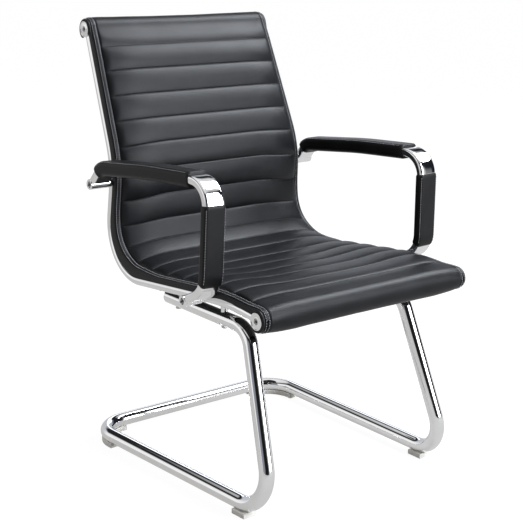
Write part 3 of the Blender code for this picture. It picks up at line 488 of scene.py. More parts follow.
def turned_piece(name, profile, look, replaced, centre, axis):
    """A turned piece whose own Z points along a world direction."""
    matrix = Matrix.Translation(to_world(centre)) @ axis.to_track_quat("Z", "Y").to_matrix().to_4x4()

    def make(bm):
        turned(bm, profile)
        bm.transform(matrix)

    return piece_from(make, name, look, replaced)


def bevelled(profile, bevel):
    """The same profile with a small chamfer at each corner that isn't on the axis."""
    rounded = []
    for index, (radius, z) in enumerate(profile):
        if radius == 0:
            rounded.append((radius, z))
            continue
        here = Vector((radius, z))
        for other in (profile[index - 1], profile[(index + 1) % len(profile)]):
            towards = Vector(other) - here
            step = min(bevel, towards.length / 3)
            rounded.append(tuple(here + towards.normalized() * step))
    return rounded


def smooth(value):
    """Eased step from 0 to 1."""
    clamped = min(max(value, 0.0), 1.0)
    return clamped * clamped * (3 - 2 * clamped)


# Materials

def new_material(name):
    material = bpy.data.materials.new(name)
    material.use_nodes = True
    return material, material.node_tree, material.node_tree.nodes["Principled BSDF"]


def fill_in(tree, node, settings=None, links=None):
    """Sets some inputs of a node and links others."""
    for name, value in (settings or {}).items():
        node.inputs[name].default_value = value
    for name, source in (links or {}).items():
        tree.links.new(source, node.inputs[name])


def output_of(tree, kind, output, settings=None, links=None):
    """An output of a new node."""
    node = tree.nodes.new(kind)
    fill_in(tree, node, settings, links)
    return node.outputs[output]


def ramp(tree, factor, stops):
    """A colour ramp through (position, level) or (position, colour) stops."""
    node = tree.nodes.new("ShaderNodeValToRGB")
    elements = node.color_ramp.elements
    while len(elements) < len(stops):
        elements.new(0.5)
    for element, (position, level) in zip(elements, stops):
        colour = level if isinstance(level, tuple) else (level, level, level)
        element.position = position
        element.color = (*colour, 1.0)
    tree.links.new(factor, node.inputs["Fac"])
    return node.outputs["Color"]


def texture(tree, kind="ShaderNodeTexNoise", output="Fac", **settings):
    """A texture in the piece's own coordinates."""
    place = output_of(tree, "ShaderNodeTexCoord", "Object")
    return output_of(tree, kind, output, settings, {"Vector": place})


def bump(tree, height, strength, distance, under=None):
    links = {"Height": height}
    if under is not None:
        links["Normal"] = under
    return output_of(tree, "ShaderNodeBump", "Normal", {"Strength": strength, "Distance": distance}, links)


def colour_mix(tree, blend, links, settings=None):
    mix = tree.nodes.new("ShaderNodeMix")
    mix.data_type = "RGBA"
    mix.blend_type = blend
    fill_in(tree, mix, settings, links)
    return mix.outputs["Result"]


def scaled(colour, share):
    return tuple(share * part for part in colour)


def leather(name, dark, light, roughness, gloss_level):
    """Grained leather: fine pores, soft mottling, and edges rubbed a little lighter."""
    material, tree, shader = new_material(name)
    spread = 0.03
    mottle = texture(tree, Scale=22.0, Detail=4.0, Roughness=0.6)
    base = ramp(tree, mottle, ((0.35, dark), (0.7, light)))
    edges = output_of(tree, "ShaderNodeNewGeometry", "Pointiness")
    rubbed = (0.006, 0.006, 0.007)
    worn = ramp(tree, edges, ((0.5, 0.0), (0.56, rubbed)))
    pores = texture(tree, "ShaderNodeTexVoronoi", "Distance", Scale=900.0)
    wrinkles = texture(tree, Scale=260.0, Detail=5.0, Roughness=0.65)
    grain = bump(tree, pores, strength=0.22, distance=0.0004)
    fill_in(tree, shader, {"Specular IOR Level": gloss_level}, {
        "Base Color": colour_mix(tree, "ADD", {"A": base, "B": worn}, {"Factor": 1.0}),
        "Roughness": ramp(tree, mottle, ((0.3, roughness - spread), (0.7, roughness + spread))),
        "Normal": bump(tree, wrinkles, strength=0.16, distance=0.0008, under=grain),
    })
    return material


def metal(name, colour, roughness, variation):
    """Polished or brushed metal with faint cloudiness in its polish."""
    material, tree, shader = new_material(name)
    cloud = texture(tree, Scale=35.0, Detail=3.0)
    fine = texture(tree, Scale=600.0, Detail=2.0)
    fill_in(tree, shader, {"Metallic": 1.0}, {
        "Base Color": ramp(tree, cloud, ((0.35, scaled(colour, 0.97)), (0.65, colour))),
        "Roughness": ramp(tree, cloud, ((0.3, roughness - variation), (0.7, roughness + variation))),
        "Normal": bump(tree, fine, strength=0.005, distance=0.0001),
    })
    return material


def thread(name, colour):
    """Twisted thread with a fine ply."""
    material, tree, shader = new_material(name)
    ply = texture(tree, Scale=2500.0, Detail=1.0)
    tint = ramp(tree, ply, ((0.3, scaled(colour, 0.6)), (0.7, colour)))
    fill_in(tree, shader, {"Roughness": 0.6, "Sheen Weight": 0.3}, {"Base Color": tint})
    return material


def glide_plastic(name):
    """Milky plastic that lets a little light through."""
    material, tree, shader = new_material(name)
    cloud = texture(tree, Scale=60.0, Detail=3.0)
    tint = ramp(tree, cloud, ((0.3, (0.86, 0.84, 0.78)), (0.7, (0.93, 0.91, 0.86))))
    settings = {"Roughness": 0.38, "Subsurface Weight": 0.35, "Subsurface Radius": (0.004, 0.004, 0.0035)}
    fill_in(tree, shader, settings, {"Base Color": tint})
    return material


LEATHER = leather("sling_leather", (0.0035, 0.0038, 0.0048), (0.007, 0.0074, 0.009), 0.41, 0.21)
ARM_LEATHER = leather("arm_leather", (0.004, 0.004, 0.0044), (0.008, 0.008, 0.0084), 0.42, 0.2)
BACK_LEATHER = leather("back_leather", (0.01, 0.0105, 0.012), (0.016, 0.017, 0.019), 0.5, 0.25)
CHROME = metal("polished_chrome", (0.86, 0.86, 0.87), 0.05, 0.02)
SATIN = metal("satin_chrome", (0.66, 0.65, 0.63), 0.22, 0.05)
STEEL = metal("dark_steel", (0.4, 0.4, 0.41), 0.3, 0.06)
THREAD = thread("edge_thread", (0.42, 0.42, 0.44))
SEAM_THREAD = thread("seam_thread", (0.035, 0.036, 0.04))
GLIDE = glide_plastic("milky_plastic")

# Places on the frame

rail_line = spans_through(RAIL_CORNERS, RAIL_BENDS)
rail_total = line_length(rail_line)
rail_top, top_heading = on_line(rail_line, 0.0)
rail_front, front_heading = on_line(rail_line, rail_total)
border_line = [
    (start + PAD_SURFACE * normal(heading), heading, length - PAD_SURFACE * turn, turn)
    for start, heading, length, turn in rail_line
]
border_total = line_length(border_line)
corner_middle = line_length(border_line[:SEAT_BEND_SPAN]) + border_line[SEAT_BEND_SPAN][2] / 2
upper_arm_mount = on_line(rail_line, distance_where(rail_line, 1, UPPER_ARM_HEIGHT))[0]
lower_arm_mount = on_line(rail_line, distance_where(rail_line, 0, LOWER_ARM_REACH))[0]
arm_line = spans_through([upper_arm_mount, *ARM_CORNERS, lower_arm_mount], ARM_BENDS)
top_sleeve_end = TOP_SLEEVE_START + TOP_SLEEVE_LENGTH
front_sleeve_start = top_sleeve_end + ELBOW_BARE_LENGTH
front_sleeve_end = front_sleeve_start + FRONT_SLEEVE_LENGTH
SLEEVES = {
    "top": (TOP_SLEEVE, TOP_SLEEVE_START, top_sleeve_end),
    "front": (FRONT_SLEEVE, front_sleeve_start, front_sleeve_end),
}


def width_slopes():
    """Slopes of the sling's half width with reach and height, from its three half widths."""
    top_reach, top_height = RAIL_CORNERS[0]
    steps = []
    for corner, half_width in ((2, SEAT_REAR_HALF_WIDTH), (4, SEAT_FRONT_HALF_WIDTH)):
        reach, height = RAIL_CORNERS[corner]
        steps.append((reach - top_reach, height - top_height, half_width - BACK_TOP_HALF_WIDTH))
    (reach_a, height_a, grow_a), (reach_b, height_b, grow_b) = steps
    scale = reach_a * height_b - reach_b * height_a
    return (grow_a * height_b - grow_b * height_a) / scale, (reach_a * grow_b - reach_b * grow_a) / scale


width_by_reach, width_by_height = width_slopes()


def seam_along(count):
    """Distance along the border surface of a seam, or of a place between two seams."""
    share = count / (SEAM_COUNT - 1)
    run = border_total - FIRST_SEAM - LAST_SEAM
    return FIRST_SEAM + run * (share - SEAM_SKEW * math.sin(math.pi * share))


seams = [seam_along(count) for count in range(SEAM_COUNT)]


def arm_x(side, place):
    """The middle of an arm, which leans a little inwards towards its top."""
    return side * (ARM_CENTRE + ARM_LEAN * (ARM_CORNERS[2][1] - place[1]))


def seam_end(place):
    """Half width of the ribbed panel at a (reach, height) place."""
    widened = width_by_reach * (place[0] - RAIL_CORNERS[0][0])
    return BACK_TOP_HALF_WIDTH + widened + width_by_height * (place[1] - RAIL_CORNERS[0][1])


# The sling's surface

def row_frame(along):
    """Centre, outward direction and surface offset of a row, round the rolls past both ends."""
    inside = min(max(along, 0.0), border_total)
    place, heading = point_on(rail_line, *locate(border_line, inside))
    past = (along - inside) / ROLL_RADIUS
    out = normal(heading - past)
    from_end = min(inside, border_total - inside)
    blend = smooth((ROLL_BLEND - from_end) / ROLL_BLEND)
    knee = RAIL_CORNERS[3][1]
    up_back = smooth((place.y - knee) / (RAIL_CORNERS[1][1] - knee) * 2)
    surface = PAD_SURFACE + up_back * BACK_EXTRA_THICKNESS
    surface += CORNER_FILL * smooth(1 - abs(inside - corner_middle - CORNER_FILL_SHIFT) / CORNER_FILL_RUN)
    base = surface + blend * (ROLL_RADIUS - surface)
    crown = crown_at(inside) * (math.cos(past) ** 2 if past < 1.5 * math.pi else 0.0)
    drop = BORDER_DROP + blend * (ROLL_END_DROP - BORDER_DROP)
    return place, out, base, crown, drop, blend


def crown_at(along):
    """Swell of the panel between its borders: fullest at the bend, and slacker to the front."""
    into_bend = smooth(along / corner_middle)
    along_seat = min(max((along - corner_middle) / (border_total - corner_middle), 0.0), 1.0)
    swell = CROWN_BACK + into_bend * (CROWN_BEND - CROWN_BACK) - along_seat * (CROWN_BEND - CROWN_FRONT)
    return swell * smooth(along / CROWN_RUN)


def hollow_at(along, inside):
    """How far the middle of the seat hangs below its borders, between the bend and the front."""
    behind = smooth((along - corner_middle - HOLLOW_REST) / HOLLOW_FADE)
    depth = SEAT_HOLLOW * behind * smooth((border_total - along) / HOLLOW_RUN)
    return depth * smooth(inside / HOLLOW_WIDTH)


def bowed(along, inside):
    """Where a place of a row really lies, as the seams of the lower back bow up in the middle."""
    near = smooth(1 - abs(along - seams[BOW_SEAM]) / BOW_RUN)
    return along - SEAM_BOW * near * smooth(inside / BOW_WIDTH)


def end_panel_fullness(share):
    """Fullness of an end panel, where share is 0 at its seam and 1 at its end."""
    rounded = 1 - (1 - share) ** END_PANEL_POWER
    return END_PANEL_FULLNESS * rounded * smooth((1 - share) * END_PANEL_FADE)


def rib_fullness(along):
    """0 at the seams and 1 at the middle of a rib. The end panels swell half as much."""
    last = border_total - LAST_SEAM
    if along <= 0 or along >= border_total:
        return 0.0
    if along < FIRST_SEAM:
        return end_panel_fullness((FIRST_SEAM - along) / FIRST_SEAM)
    if along > last:
        return end_panel_fullness((along - last) / LAST_SEAM)
    rib = max(index for index, seam in enumerate(seams) if seam <= along + 1e-9)
    if rib == SEAM_COUNT - 1:
        return 0.0
    share = (along - seams[rib]) / (seams[rib + 1] - seams[rib])
    return max(4 * share * (1 - share), 0.0) ** RIB_POWER


def rise_at(along, inside):
    """Height of the ribbed panel over the rail line, a distance inside the ends of its seams."""
    _, _, base, crown, _, blend = row_frame(along)
    edge = 1 - max(1 - inside / CROWN_REACH, 0.0) ** CROWN_POWER
    rib_edge = math.sqrt(1 - max(1 - inside / RIB_END, 0.0) ** 2)
    rise = base + crown * edge + RIB_HEIGHT * rib_fullness(along) * rib_edge
    sag = ROLL_SAG * blend * smooth(inside / CROWN_REACH / 2)
    return rise - sag - hollow_at(along, inside) - SEAM_DEPTH * max(1 - inside / SEAM_DEPTH / 2, 0.0)


def border_point(along, across):
    """(distance out from the seams' ends, height) on the rounded border, for across from 0 to 1."""
    _, _, base, _, drop, _ = row_frame(along)
    angle = math.pi / 2 * across
    outwards = BORDER_WIDTH * math.sin(angle) ** BORDER_SQUARENESS
    height = max(math.cos(angle), 0.0) ** BORDER_SQUARENESS
    return outwards, base - drop * (1 - height)


def sling_spot(side, along, outwards, rise):
    """A point in space from its row, its distance out from the seams' ends and its height."""
    place, out, *_ = row_frame(along)
    spot = place + rise * out
    return to_world((side * (seam_end(spot) + outwards), *spot))


EDGE_INSIDES = (
    0.0, 0.0012, 0.0025, 0.0045, 0.007, 0.01, 0.014, 0.019, 0.025, 0.033, 0.043, 0.056, 0.071, 0.088,
)
MIDDLE_COLUMNS = 9
BORDER_STEPS = 7


def row_alongs():
    """Where the rows of the sling lie, with one on each seam."""
    wrap = ROLL_RADIUS * (math.tau - math.acos(PAD_UNDERSIDE / ROLL_RADIUS))
    roll_rows = 44
    alongs = [-wrap * (1 - row / roll_rows) for row in range(roll_rows)]
    end_rows = 16
    alongs += [FIRST_SEAM * row / end_rows for row in range(end_rows)]
    near_seam = (0.0, 0.02, 0.05, 0.1, 0.16, 0.24, 0.33, 0.42, 0.5, 0.58, 0.67, 0.76, 0.84, 0.9, 0.95, 0.98)
    for seam, following in zip(seams, seams[1:]):
        alongs += [seam + share * (following - seam) for share in near_seam]
    last = border_total - LAST_SEAM
    alongs += [last + LAST_SEAM * row / end_rows for row in range(end_rows + 1)]
    alongs += [border_total + wrap * (row + 1) / roll_rows for row in range(roll_rows)]
    return alongs


def softened(point, strength):
    """A slow unevenness, as hand-filled padding has."""
    slow = strength * noise.noise(point * SOFTNESS_SCALE)
    return slow + FINE_SOFTNESS * strength * noise.noise(point * FINE_SCALE)


def sling_row(bm, along):
    """One row of the sling from the left border to the right one."""
    place, out, base, *_ = row_frame(along)
    insides = list(EDGE_INSIDES)
    room = seam_end(place + base * out) - insides[-1]
    insides += [insides[-1] + room * column / MIDDLE_COLUMNS for column in range(1, MIDDLE_COLUMNS)]
    halves = {}
    for side in (-1, 1):
        half = [
            sling_spot(side, along, *border_point(along, step / BORDER_STEPS))
            for step in range(BORDER_STEPS, 0, -1)
        ]
        for inside in insides:
            spot = sling_spot(side, bowed(along, inside), -inside, rise_at(along, inside))
            half.append(spot + world_direction(out) * softened(spot, SOFTNESS * smooth(inside / RIB_END)))
        halves[side] = half
    centre = seam_end(place)
    place, out, *_ = row_frame(bowed(along, centre))
    middle = place + rise_at(along, centre) * out
    points = halves[-1] + [to_world((0, *middle))] + halves[1][::-1]
    return [bm.verts.new(point) for point in points]


def sling_mesh(bm):
    """Ribbed front, rolls and borders in one skin, closed by a plain underside."""
    rows = [sling_row(bm, along) for along in row_alongs()]
    join_rows(bm, rows)
    underside = []
    for distance in stations(rail_line, ROLL_RADIUS, rail_total - ROLL_RADIUS):
        place, heading = on_line(rail_line, distance)
        spot = place + PAD_UNDERSIDE * normal(heading)
        half = seam_end(spot) + BORDER_WIDTH
        underside.append([bm.verts.new(to_world((side * half, *spot))) for side in (-1, 1)])
    join_rows(bm, underside)
    bm.faces.new((*rows[0], underside[0][1], underside[0][0]))
    bm.faces.new((*rows[-1], underside[-1][1], underside[-1][0]))
    for edge in (0, -1):
        bm.faces.new([row[edge] for row in rows] + [pair[edge] for pair in underside[::-1]])


def roll_rooms(bm):
    """Room in the rolls for the bosses, for the ends of the rails and for the rods."""
    grown = BOSS_RADIUS + CLEARANCE
    lip = PAD_UNDERSIDE + 3 * CLEARANCE
    beyond = ROLL_RADIUS + RAIL_THICKNESS
    corner = math.asin(lip / grown)
    steps = 24
    for place, heading, inwards in ((rail_top, top_heading, 1), (rail_front, front_heading, -1)):
        outline = [(beyond, -beyond), (beyond, lip)]
        for step in range(steps + 1):
            angle = corner + (math.pi - 2 * corner) * step / steps
            outline.append((grown * math.cos(angle), grown * math.sin(angle)))
        outline += [(-beyond, lip), (-beyond, -beyond)]
        inner = inwards * direction(heading)
        spots = [place + along * inner + out * normal(heading) for along, out in outline]
        for side in SIDES.values():
            rings = []
            for across in (RAIL_GAP - 2 * CLEARANCE, 2 * BOSS_STAND_OUT):
                x = side * (seam_end(place) + across)
                rings.append([bm.verts.new(to_world((x, *spot))) for spot in spots])
            join_bar(bm, rings)


def rod_rooms(bm):
    """Bores for the two rods."""
    bore = ellipse(ROD_RADIUS + CLEARANCE, ROD_RADIUS + CLEARANCE, sides=24)
    for place in (rail_top, rail_front):
        half = seam_end(place) + BORDER_WIDTH
        crosswise(bm, place, (-half, half), bore)


def build_sling():
    sling = piece_from(sling_mesh, "ribbed_sling", LEATHER, ["sling_pad"])
    cut_away(sling, roll_rooms)
    cut_away(sling, rod_rooms)


def roll_welts(bm):
    """Leather edges that stand round the discs, as the borders run on round both rolls."""
    middle = BOSS_RADIUS + CLEARANCE + WELT_WIDTH / 2
    inner = BORDER_WIDTH - WELT_DEPTH / 3
    wrap = WELT_TURN * ROLL_RADIUS
    for side in SIDES.values():
        for start, end in ((-wrap, WELT_LEAD), (border_total - WELT_LEAD, border_total + wrap)):
            path = []
            sizes = []
            for step in range(WELT_STEPS + 1):
                along = start + (end - start) * step / WELT_STEPS
                place, out, *_ = row_frame(along)
                spot = place + middle * out
                x = side * (seam_end(spot) + inner + WELT_DEPTH / 2)
                tangent = Vector((0.0, out.y, -out.x))
                path.append((Vector((x, *spot)), tangent))
                inside = along if start < 0 else border_total - along
                lead = smooth((WELT_LEAD - inside) / WELT_LEAD)
                past = wrap - abs(min(inside, 0.0))
                sizes.append(WELT_THIN + (1 - WELT_THIN) * lead * smooth(past / WELT_WIDTH))

            def section_at(station):
                size = sizes[station]
                return rounded_rectangle(WELT_DEPTH * size, WELT_WIDTH * size, WELT_ROUND * size)

            swept(bm, path, section_at)


# Stitches

def add_stitch(bm, middle, along, up):
    """A short thread that dips into the leather at both ends."""
    side = along.cross(up).normalized()
    rings = []
    for share, size, lift in STITCH_RINGS:
        ring = []
        radius = STITCH_WIDTH / 2 * size
        for corner in range(STITCH_SIDES):
            angle = math.tau * corner / STITCH_SIDES
            rise = radius * math.sin(angle) + STITCH_WIDTH * lift
            offset = side * radius * math.cos(angle) + up * rise
            ring.append(bm.verts.new(middle + along * STITCH_LENGTH * share + offset))
        rings.append(ring)
    join_bar(bm, rings)


def stitch_along(bm, point_at, start, end):
    """A row of stitches on a line given by a function that returns a point and its outward side."""
    count = int((end - start) / STITCH_PITCH)
    for index in range(count):
        where = start + (index + 0.5) * STITCH_PITCH
        before, _ = point_at(where - STITCH_LENGTH / 2)
        after, up = point_at(where + STITCH_LENGTH / 2)
        add_stitch(bm, (before + after) / 2, (after - before).normalized(), up)


def edge_stitches(bm):
    """Two rows along each border, on round the rolls."""
    wrap = ROLL_RADIUS * STITCH_WRAP
    nudge = 0.01
    for side in SIDES.values():
        for across in STITCH_ROWS:
            def point_at(along):
                edge = border_point(along, across)
                here = sling_spot(side, along, *edge)
                slope = sling_spot(side, along, *border_point(along, across + nudge)) - here
                ahead = sling_spot(side, along + STITCH_LENGTH, *edge) - here
                return here, ahead.cross(slope).normalized() * side

            stitch_along(bm, point_at, -wrap, border_total + wrap)


def seam_stitches(bm):
    """One sunk row along each seam between the ribs."""
    for along in seams:
        place, out, base, *_ = row_frame(along)
        half = seam_end(place + base * out)
        up = world_direction(out)

        def point_at(x):
            inside = max(half - abs(x), 0.0)
            centre, outwards, *_ = row_frame(bowed(along, inside))
            spot = centre + rise_at(along, inside) * outwards
            return to_world((x, *spot)), up

        stitch_along(bm, point_at, -half + STITCH_PITCH, half - STITCH_PITCH)


# The panel behind the back and under the seat

def back_panel_mesh(bm):
    """A thin sewn panel between the rails, puffed a little between its own seams."""
    outer = RAIL_DEPTH / 2
    end = rail_total - ROLL_RADIUS
    fade_rows = 4
    skins = []
    for inner in (False, True):
        rows = []
        for row in range(LINER_ROWS + 1):
            along = ROLL_RADIUS + (end - ROLL_RADIUS) * row / LINER_ROWS
            place, heading = on_line(rail_line, along)
            half = seam_end(place) + RAIL_GAP - LINER_INSET
            full = rib_fullness(along / rail_total * border_total)
            row_fade = smooth(min(row, LINER_ROWS - row) / fade_rows)
            verts = []
            for column in range(LINER_COLUMNS + 1):
                x = half * (2 * column / LINER_COLUMNS - 1)
                fade = smooth((half - abs(x)) / LINER_EDGE) * row_fade
                rise = outer - LINER_THICKNESS - LINER_PUFF * full * fade if inner else outer
                spot = place + rise * normal(heading)
                verts.append(bm.verts.new(to_world((x, *spot))))
            rows.append(verts)
        skins.append(rows)
        join_rows(bm, rows)
    for edge in (0, -1):
        join_rows(bm, [[row[edge] for row in rows] for rows in skins])
    for edge in (0, -1):
        join_rows(bm, [rows[edge] for rows in skins])


# Chrome

left_tube_corners = [
    (-TUBE_SHOULDER_HALF_WIDTH, *TUBE_END),
    (-TUBE_SHOULDER_HALF_WIDTH, *TUBE_SHOULDER),
    (-TUBE_FRONT_HALF_WIDTH, TUBE_FRONT_REACH, TUBE_AXIS),
    (-TUBE_REAR_HALF_WIDTH, 0.0, TUBE_AXIS),
]
right_tube_corners = [(-x, reach, height) for x, reach, height in reversed(left_tube_corners)]
tube_path = rounded_path(left_tube_corners + right_tube_corners, TUBE_BENDS + TUBE_BENDS[::-1])


def build_base_tube():
    outer = ellipse(TUBE_RADIUS, TUBE_RADIUS)
    bore = ellipse(TUBE_RADIUS - TUBE_WALL, TUBE_RADIUS - TUBE_WALL)
    piece_from(
        lambda bm: swept(bm, tube_path, outer, bore),
        "sled_tube", CHROME, ["sled_base_tube"],
    )


def rail_path(side):
    """The middle of a side rail, ended against the bosses."""
    offset = RAIL_GAP + RAIL_THICKNESS / 2
    return in_plane(
        rail_line,
        stations(rail_line, BOSS_RADIUS, rail_total - BOSS_RADIUS),
        lambda place: side * (seam_end(place) + offset),
    )


def build_rails():
    section = ellipse(RAIL_THICKNESS / 2, RAIL_DEPTH / 2)
    for side_name, side in SIDES.items():
        path = rail_path(side)
        piece_from(
            lambda bm: swept(bm, path, section),
            "rail_" + side_name, CHROME, ["side_rail_" + side_name],
        )


def build_arm_bars():
    width, thickness, radius = ARM_BAR
    section = rounded_rectangle(width, thickness, radius)
    room = ellipse(RAIL_THICKNESS / 2 + CLEARANCE, RAIL_DEPTH / 2 + CLEARANCE)
    rows = stations(arm_line, BARREL_RADIUS, line_length(arm_line) - BARREL_RADIUS)
    for side_name, side in SIDES.items():
        path = in_plane(arm_line, rows, lambda place: arm_x(side, place))
        bar = piece_from(
            lambda bm: swept(bm, path, section),
            "arm_bar_" + side_name, CHROME, ["arm_loop_" + side_name],
        )
        cut_away(bar, lambda bm: swept(bm, rail_path(side), room))


def build_ends(end_name, names, body, head_sizes, spot):
    """A turned body outside each rail and the head of its bolt, with a six-sided socket."""
    body_name, body_node, head_name, head_node = names
    radius, top, thickness = head_sizes
    low = top - thickness
    head = bevelled([(0, low), (radius, low), (radius, top), (0, top)], SMALL_BEVEL)
    socket = ellipse(HEX_RADIUS, HEX_RADIUS, sides=6)
    for side_name, side in SIDES.items():
        label = end_name + "_" + side_name
        centre = (side * spot[0], *spot[1:])
        outwards = side * ALONG_X
        turned_piece(body_name + label, body, CHROME, [body_node + label], centre, outwards)
        bolt = turned_piece(head_name + label, head, STEEL, [head_node + label], centre, outwards)
        x_ends = [centre[0] + side * (top + step) for step in (-HEX_DEPTH, HEX_DEPTH)]
        cut_away(bolt, lambda bm: crosswise(bm, spot[1:], x_ends, socket))


def build_bosses():
    """Stepped round ends of the rolls, with a socket screw in each."""
    depth = BOSS_STAND_OUT - RAIL_GAP
    rim = 0.0022
    step = 0.0009
    bore = 0.0058
    bore_floor = depth - 0.006
    boss = bevelled(
        [
            (SCREW_HOLE_RADIUS, 0),
            (BOSS_RADIUS, 0),
            (BOSS_RADIUS, depth),
            (BOSS_RADIUS - rim, depth),
            (BOSS_RADIUS - rim, depth - step),
            (bore + rim, depth - step),
            (bore + rim, depth - step / 2),
            (bore, depth - step / 2),
            (bore, bore_floor),
            (SCREW_HOLE_RADIUS, bore_floor),
        ],
        SMALL_BEVEL,
    )
    names = ("roll_end_", "boss_", "socket_head_", "boss_screw_")
    head_sizes = (bore - CLEARANCE, depth - 0.0012, 0.0045)
    for end_name, place in (("top", rail_top), ("front", rail_front)):
        spot = (seam_end(place) + RAIL_GAP, *place)
        build_ends(end_name, names, boss, head_sizes, spot)


def build_barrels():
    """Round ends of the arms, from the rails out to just past the arm bars, with a bolt in each."""
    gap = 0.0008
    bevel = 0.0008
    bore = 0.0062
    bore_depth = 0.008
    names = ("barrel_", "arm_barrel_", "bolt_head_", "arm_bolt_")
    for end_name, place in (("upper", upper_arm_mount), ("lower", lower_arm_mount)):
        rail_face = seam_end(place) + RAIL_GAP + RAIL_THICKNESS + gap
        length = arm_x(1, place) + ARM_BAR[0] / 2 + BARREL_PROUD - rail_face
        barrel = bevelled(
            [
                (SCREW_HOLE_RADIUS, 0),
                (BARREL_RADIUS, 0),
                (BARREL_RADIUS, length),
                (bore, length),
                (bore, length - bore_depth),
                (SCREW_HOLE_RADIUS, length - bore_depth),
            ],
            bevel,
        )
        head_sizes = (0.0056, length - 0.0025, 0.005)
        build_ends(end_name, names, barrel, head_sizes, (rail_face, *place))


# Arm sleeves

def sleeve_sections(size, ends):
    """A section function that rounds in at both ends."""
    width, thickness, radius = size
    least_radius = 0.002

    def section_at(station):
        from_end = min(ends[station], ends[-1] - ends[station])
        short = max(1 - from_end / SLEEVE_TUCK_RUN, 0.0)
        tuck = SLEEVE_TUCK * (1 - math.sqrt(1 - short ** 2))
        return rounded_rectangle(width - 2 * tuck, thickness - 2 * tuck, max(radius - tuck, least_radius))

    return section_at


def sleeve_stations(start, end):
    """Close rows at the rounded ends and even rows between."""
    near = (0.0, 0.0003, 0.0008, 0.0016, 0.0026, 0.004, 0.007)
    pitch = 0.004
    least_gap = 0.0002
    found = [start + step for step in near] + [end - step for step in near]
    count = int((end - start) / pitch)
    found += [start + (end - start) * row / count for row in range(1, count)]
    return spaced(found, least_gap)


def build_sleeves():
    width, thickness, radius = ARM_BAR
    inner = rounded_rectangle(width + 2 * CLEARANCE, thickness + 2 * CLEARANCE, radius + CLEARANCE)
    for side_name, side in SIDES.items():
        for end_name, (size, start, end) in SLEEVES.items():
            rows = sleeve_stations(start, end)
            path = in_plane(arm_line, rows, lambda place: arm_x(side, place))
            section_at = sleeve_sections(size, [row - start for row in rows])
            label = end_name + "_" + side_name
            sleeve = piece_from(
                lambda bm: swept(bm, path, section_at, inner),
                "sleeve_" + label, ARM_LEATHER, ["arm_sleeve_" + label],
            )


def sleeve_stitches(bm):
    """A row of stitches down both outer edges of each sleeve."""
    over = math.cos(SLEEVE_STITCH_ANGLE)
    height = math.sin(SLEEVE_STITCH_ANGLE)
    for side in SIDES.values():
        for (width, thickness, radius), start, end in SLEEVES.values():
            for edge in (-1, 1):
                across = edge * (width / 2 - radius + radius * over)
                rise = thickness / 2 - radius + radius * height

                def point_at(distance):
                    place, heading = on_line(arm_line, distance)
                    out = normal(heading)
                    spot = place + rise * out
                    here = to_world((arm_x(side, spot) + across, *spot))
                    return here, (edge * over * ALONG_X + height * world_direction(out)).normalized()

                stitch_along(bm, point_at, start + STITCH_PITCH, end - STITCH_PITCH)


# Glides

def build_glides():
    """Milky blocks with rounded edges, hollowed to the tube."""
    middle = GLIDE_HEIGHT / 2
    saddle = ellipse(TUBE_RADIUS + CLEARANCE, TUBE_RADIUS + CLEARANCE)
    for side_name, side in SIDES.items():
        def on_run(reach):
            share = reach / TUBE_FRONT_REACH
            half_width = TUBE_REAR_HALF_WIDTH + share * (TUBE_FRONT_HALF_WIDTH - TUBE_REAR_HALF_WIDTH)
            return Vector((side * half_width, reach, middle))

        steps = (-FRONT_GLIDE_HALF_LENGTH, FRONT_GLIDE_HALF_LENGTH)
        front_corners = [on_run(FRONT_GLIDE_REACH + step) for step in steps]
        rear_corners = [(side * REAR_GLIDE_START, 0.0, middle), on_run(0.0), on_run(REAR_GLIDE_REACH)]
        plans = {
            "front": (rounded_path(front_corners, []), FRONT_GLIDE_WIDTH),
            "rear": (rounded_path(rear_corners, [TUBE_BENDS[2]]), REAR_GLIDE_WIDTH),
        }
        for end_name, (path, width) in plans.items():
            block = rounded_rectangle(width, GLIDE_HEIGHT, GLIDE_EDGE, steps=3, flats=2)
            section = [(b, a) for a, b in block]
            label = end_name + "_" + side_name
            glide = piece_from(
                lambda bm: swept(bm, path, section, None, ALONG_Z),
                "floor_glide_" + label, GLIDE, ["glide_" + label],
            )
            cut_away(glide, lambda bm: swept(bm, tube_path, saddle))


def dress_frame():
    """Gives the CAD pieces that stay in view their finish."""
    looks = dict(chrome=CHROME, steel=SATIN, leather=LEATHER, backing=BACK_LEATHER, glide_plastic=GLIDE)
    for part in frame["record"]["subparts"]:
        materials = frame["nodes"][part["node"]].data.materials
        materials.clear()
        materials.append(looks[part["material_slot"]])


# Studio

def computed(tree, operation, first, second):
    node = tree.nodes.new("ShaderNodeMath")
    node.operation = operation
    fill_in(tree, node, links={0: first, 1: second})
    return node.outputs[0]


def shown(tree):
    """1 for the camera's rays, and 1 for those of reflections. Rays that only light things get 0."""
    rays = tree.nodes.new("ShaderNodeLightPath").outputs
    mirrored = computed(tree, "MAXIMUM", rays["Is Glossy Ray"], rays["Is Transmission Ray"])
    return rays["Is Camera Ray"], mirrored


def chosen(tree, factor, first, second):
    return output_of(tree, "ShaderNodeMixShader", 0, links={"Fac": factor, 1: first, 2: second})


def glow(tree, colour, strength):
    return output_of(tree, "ShaderNodeEmission", 0, {"Color": colour, "Strength": strength})


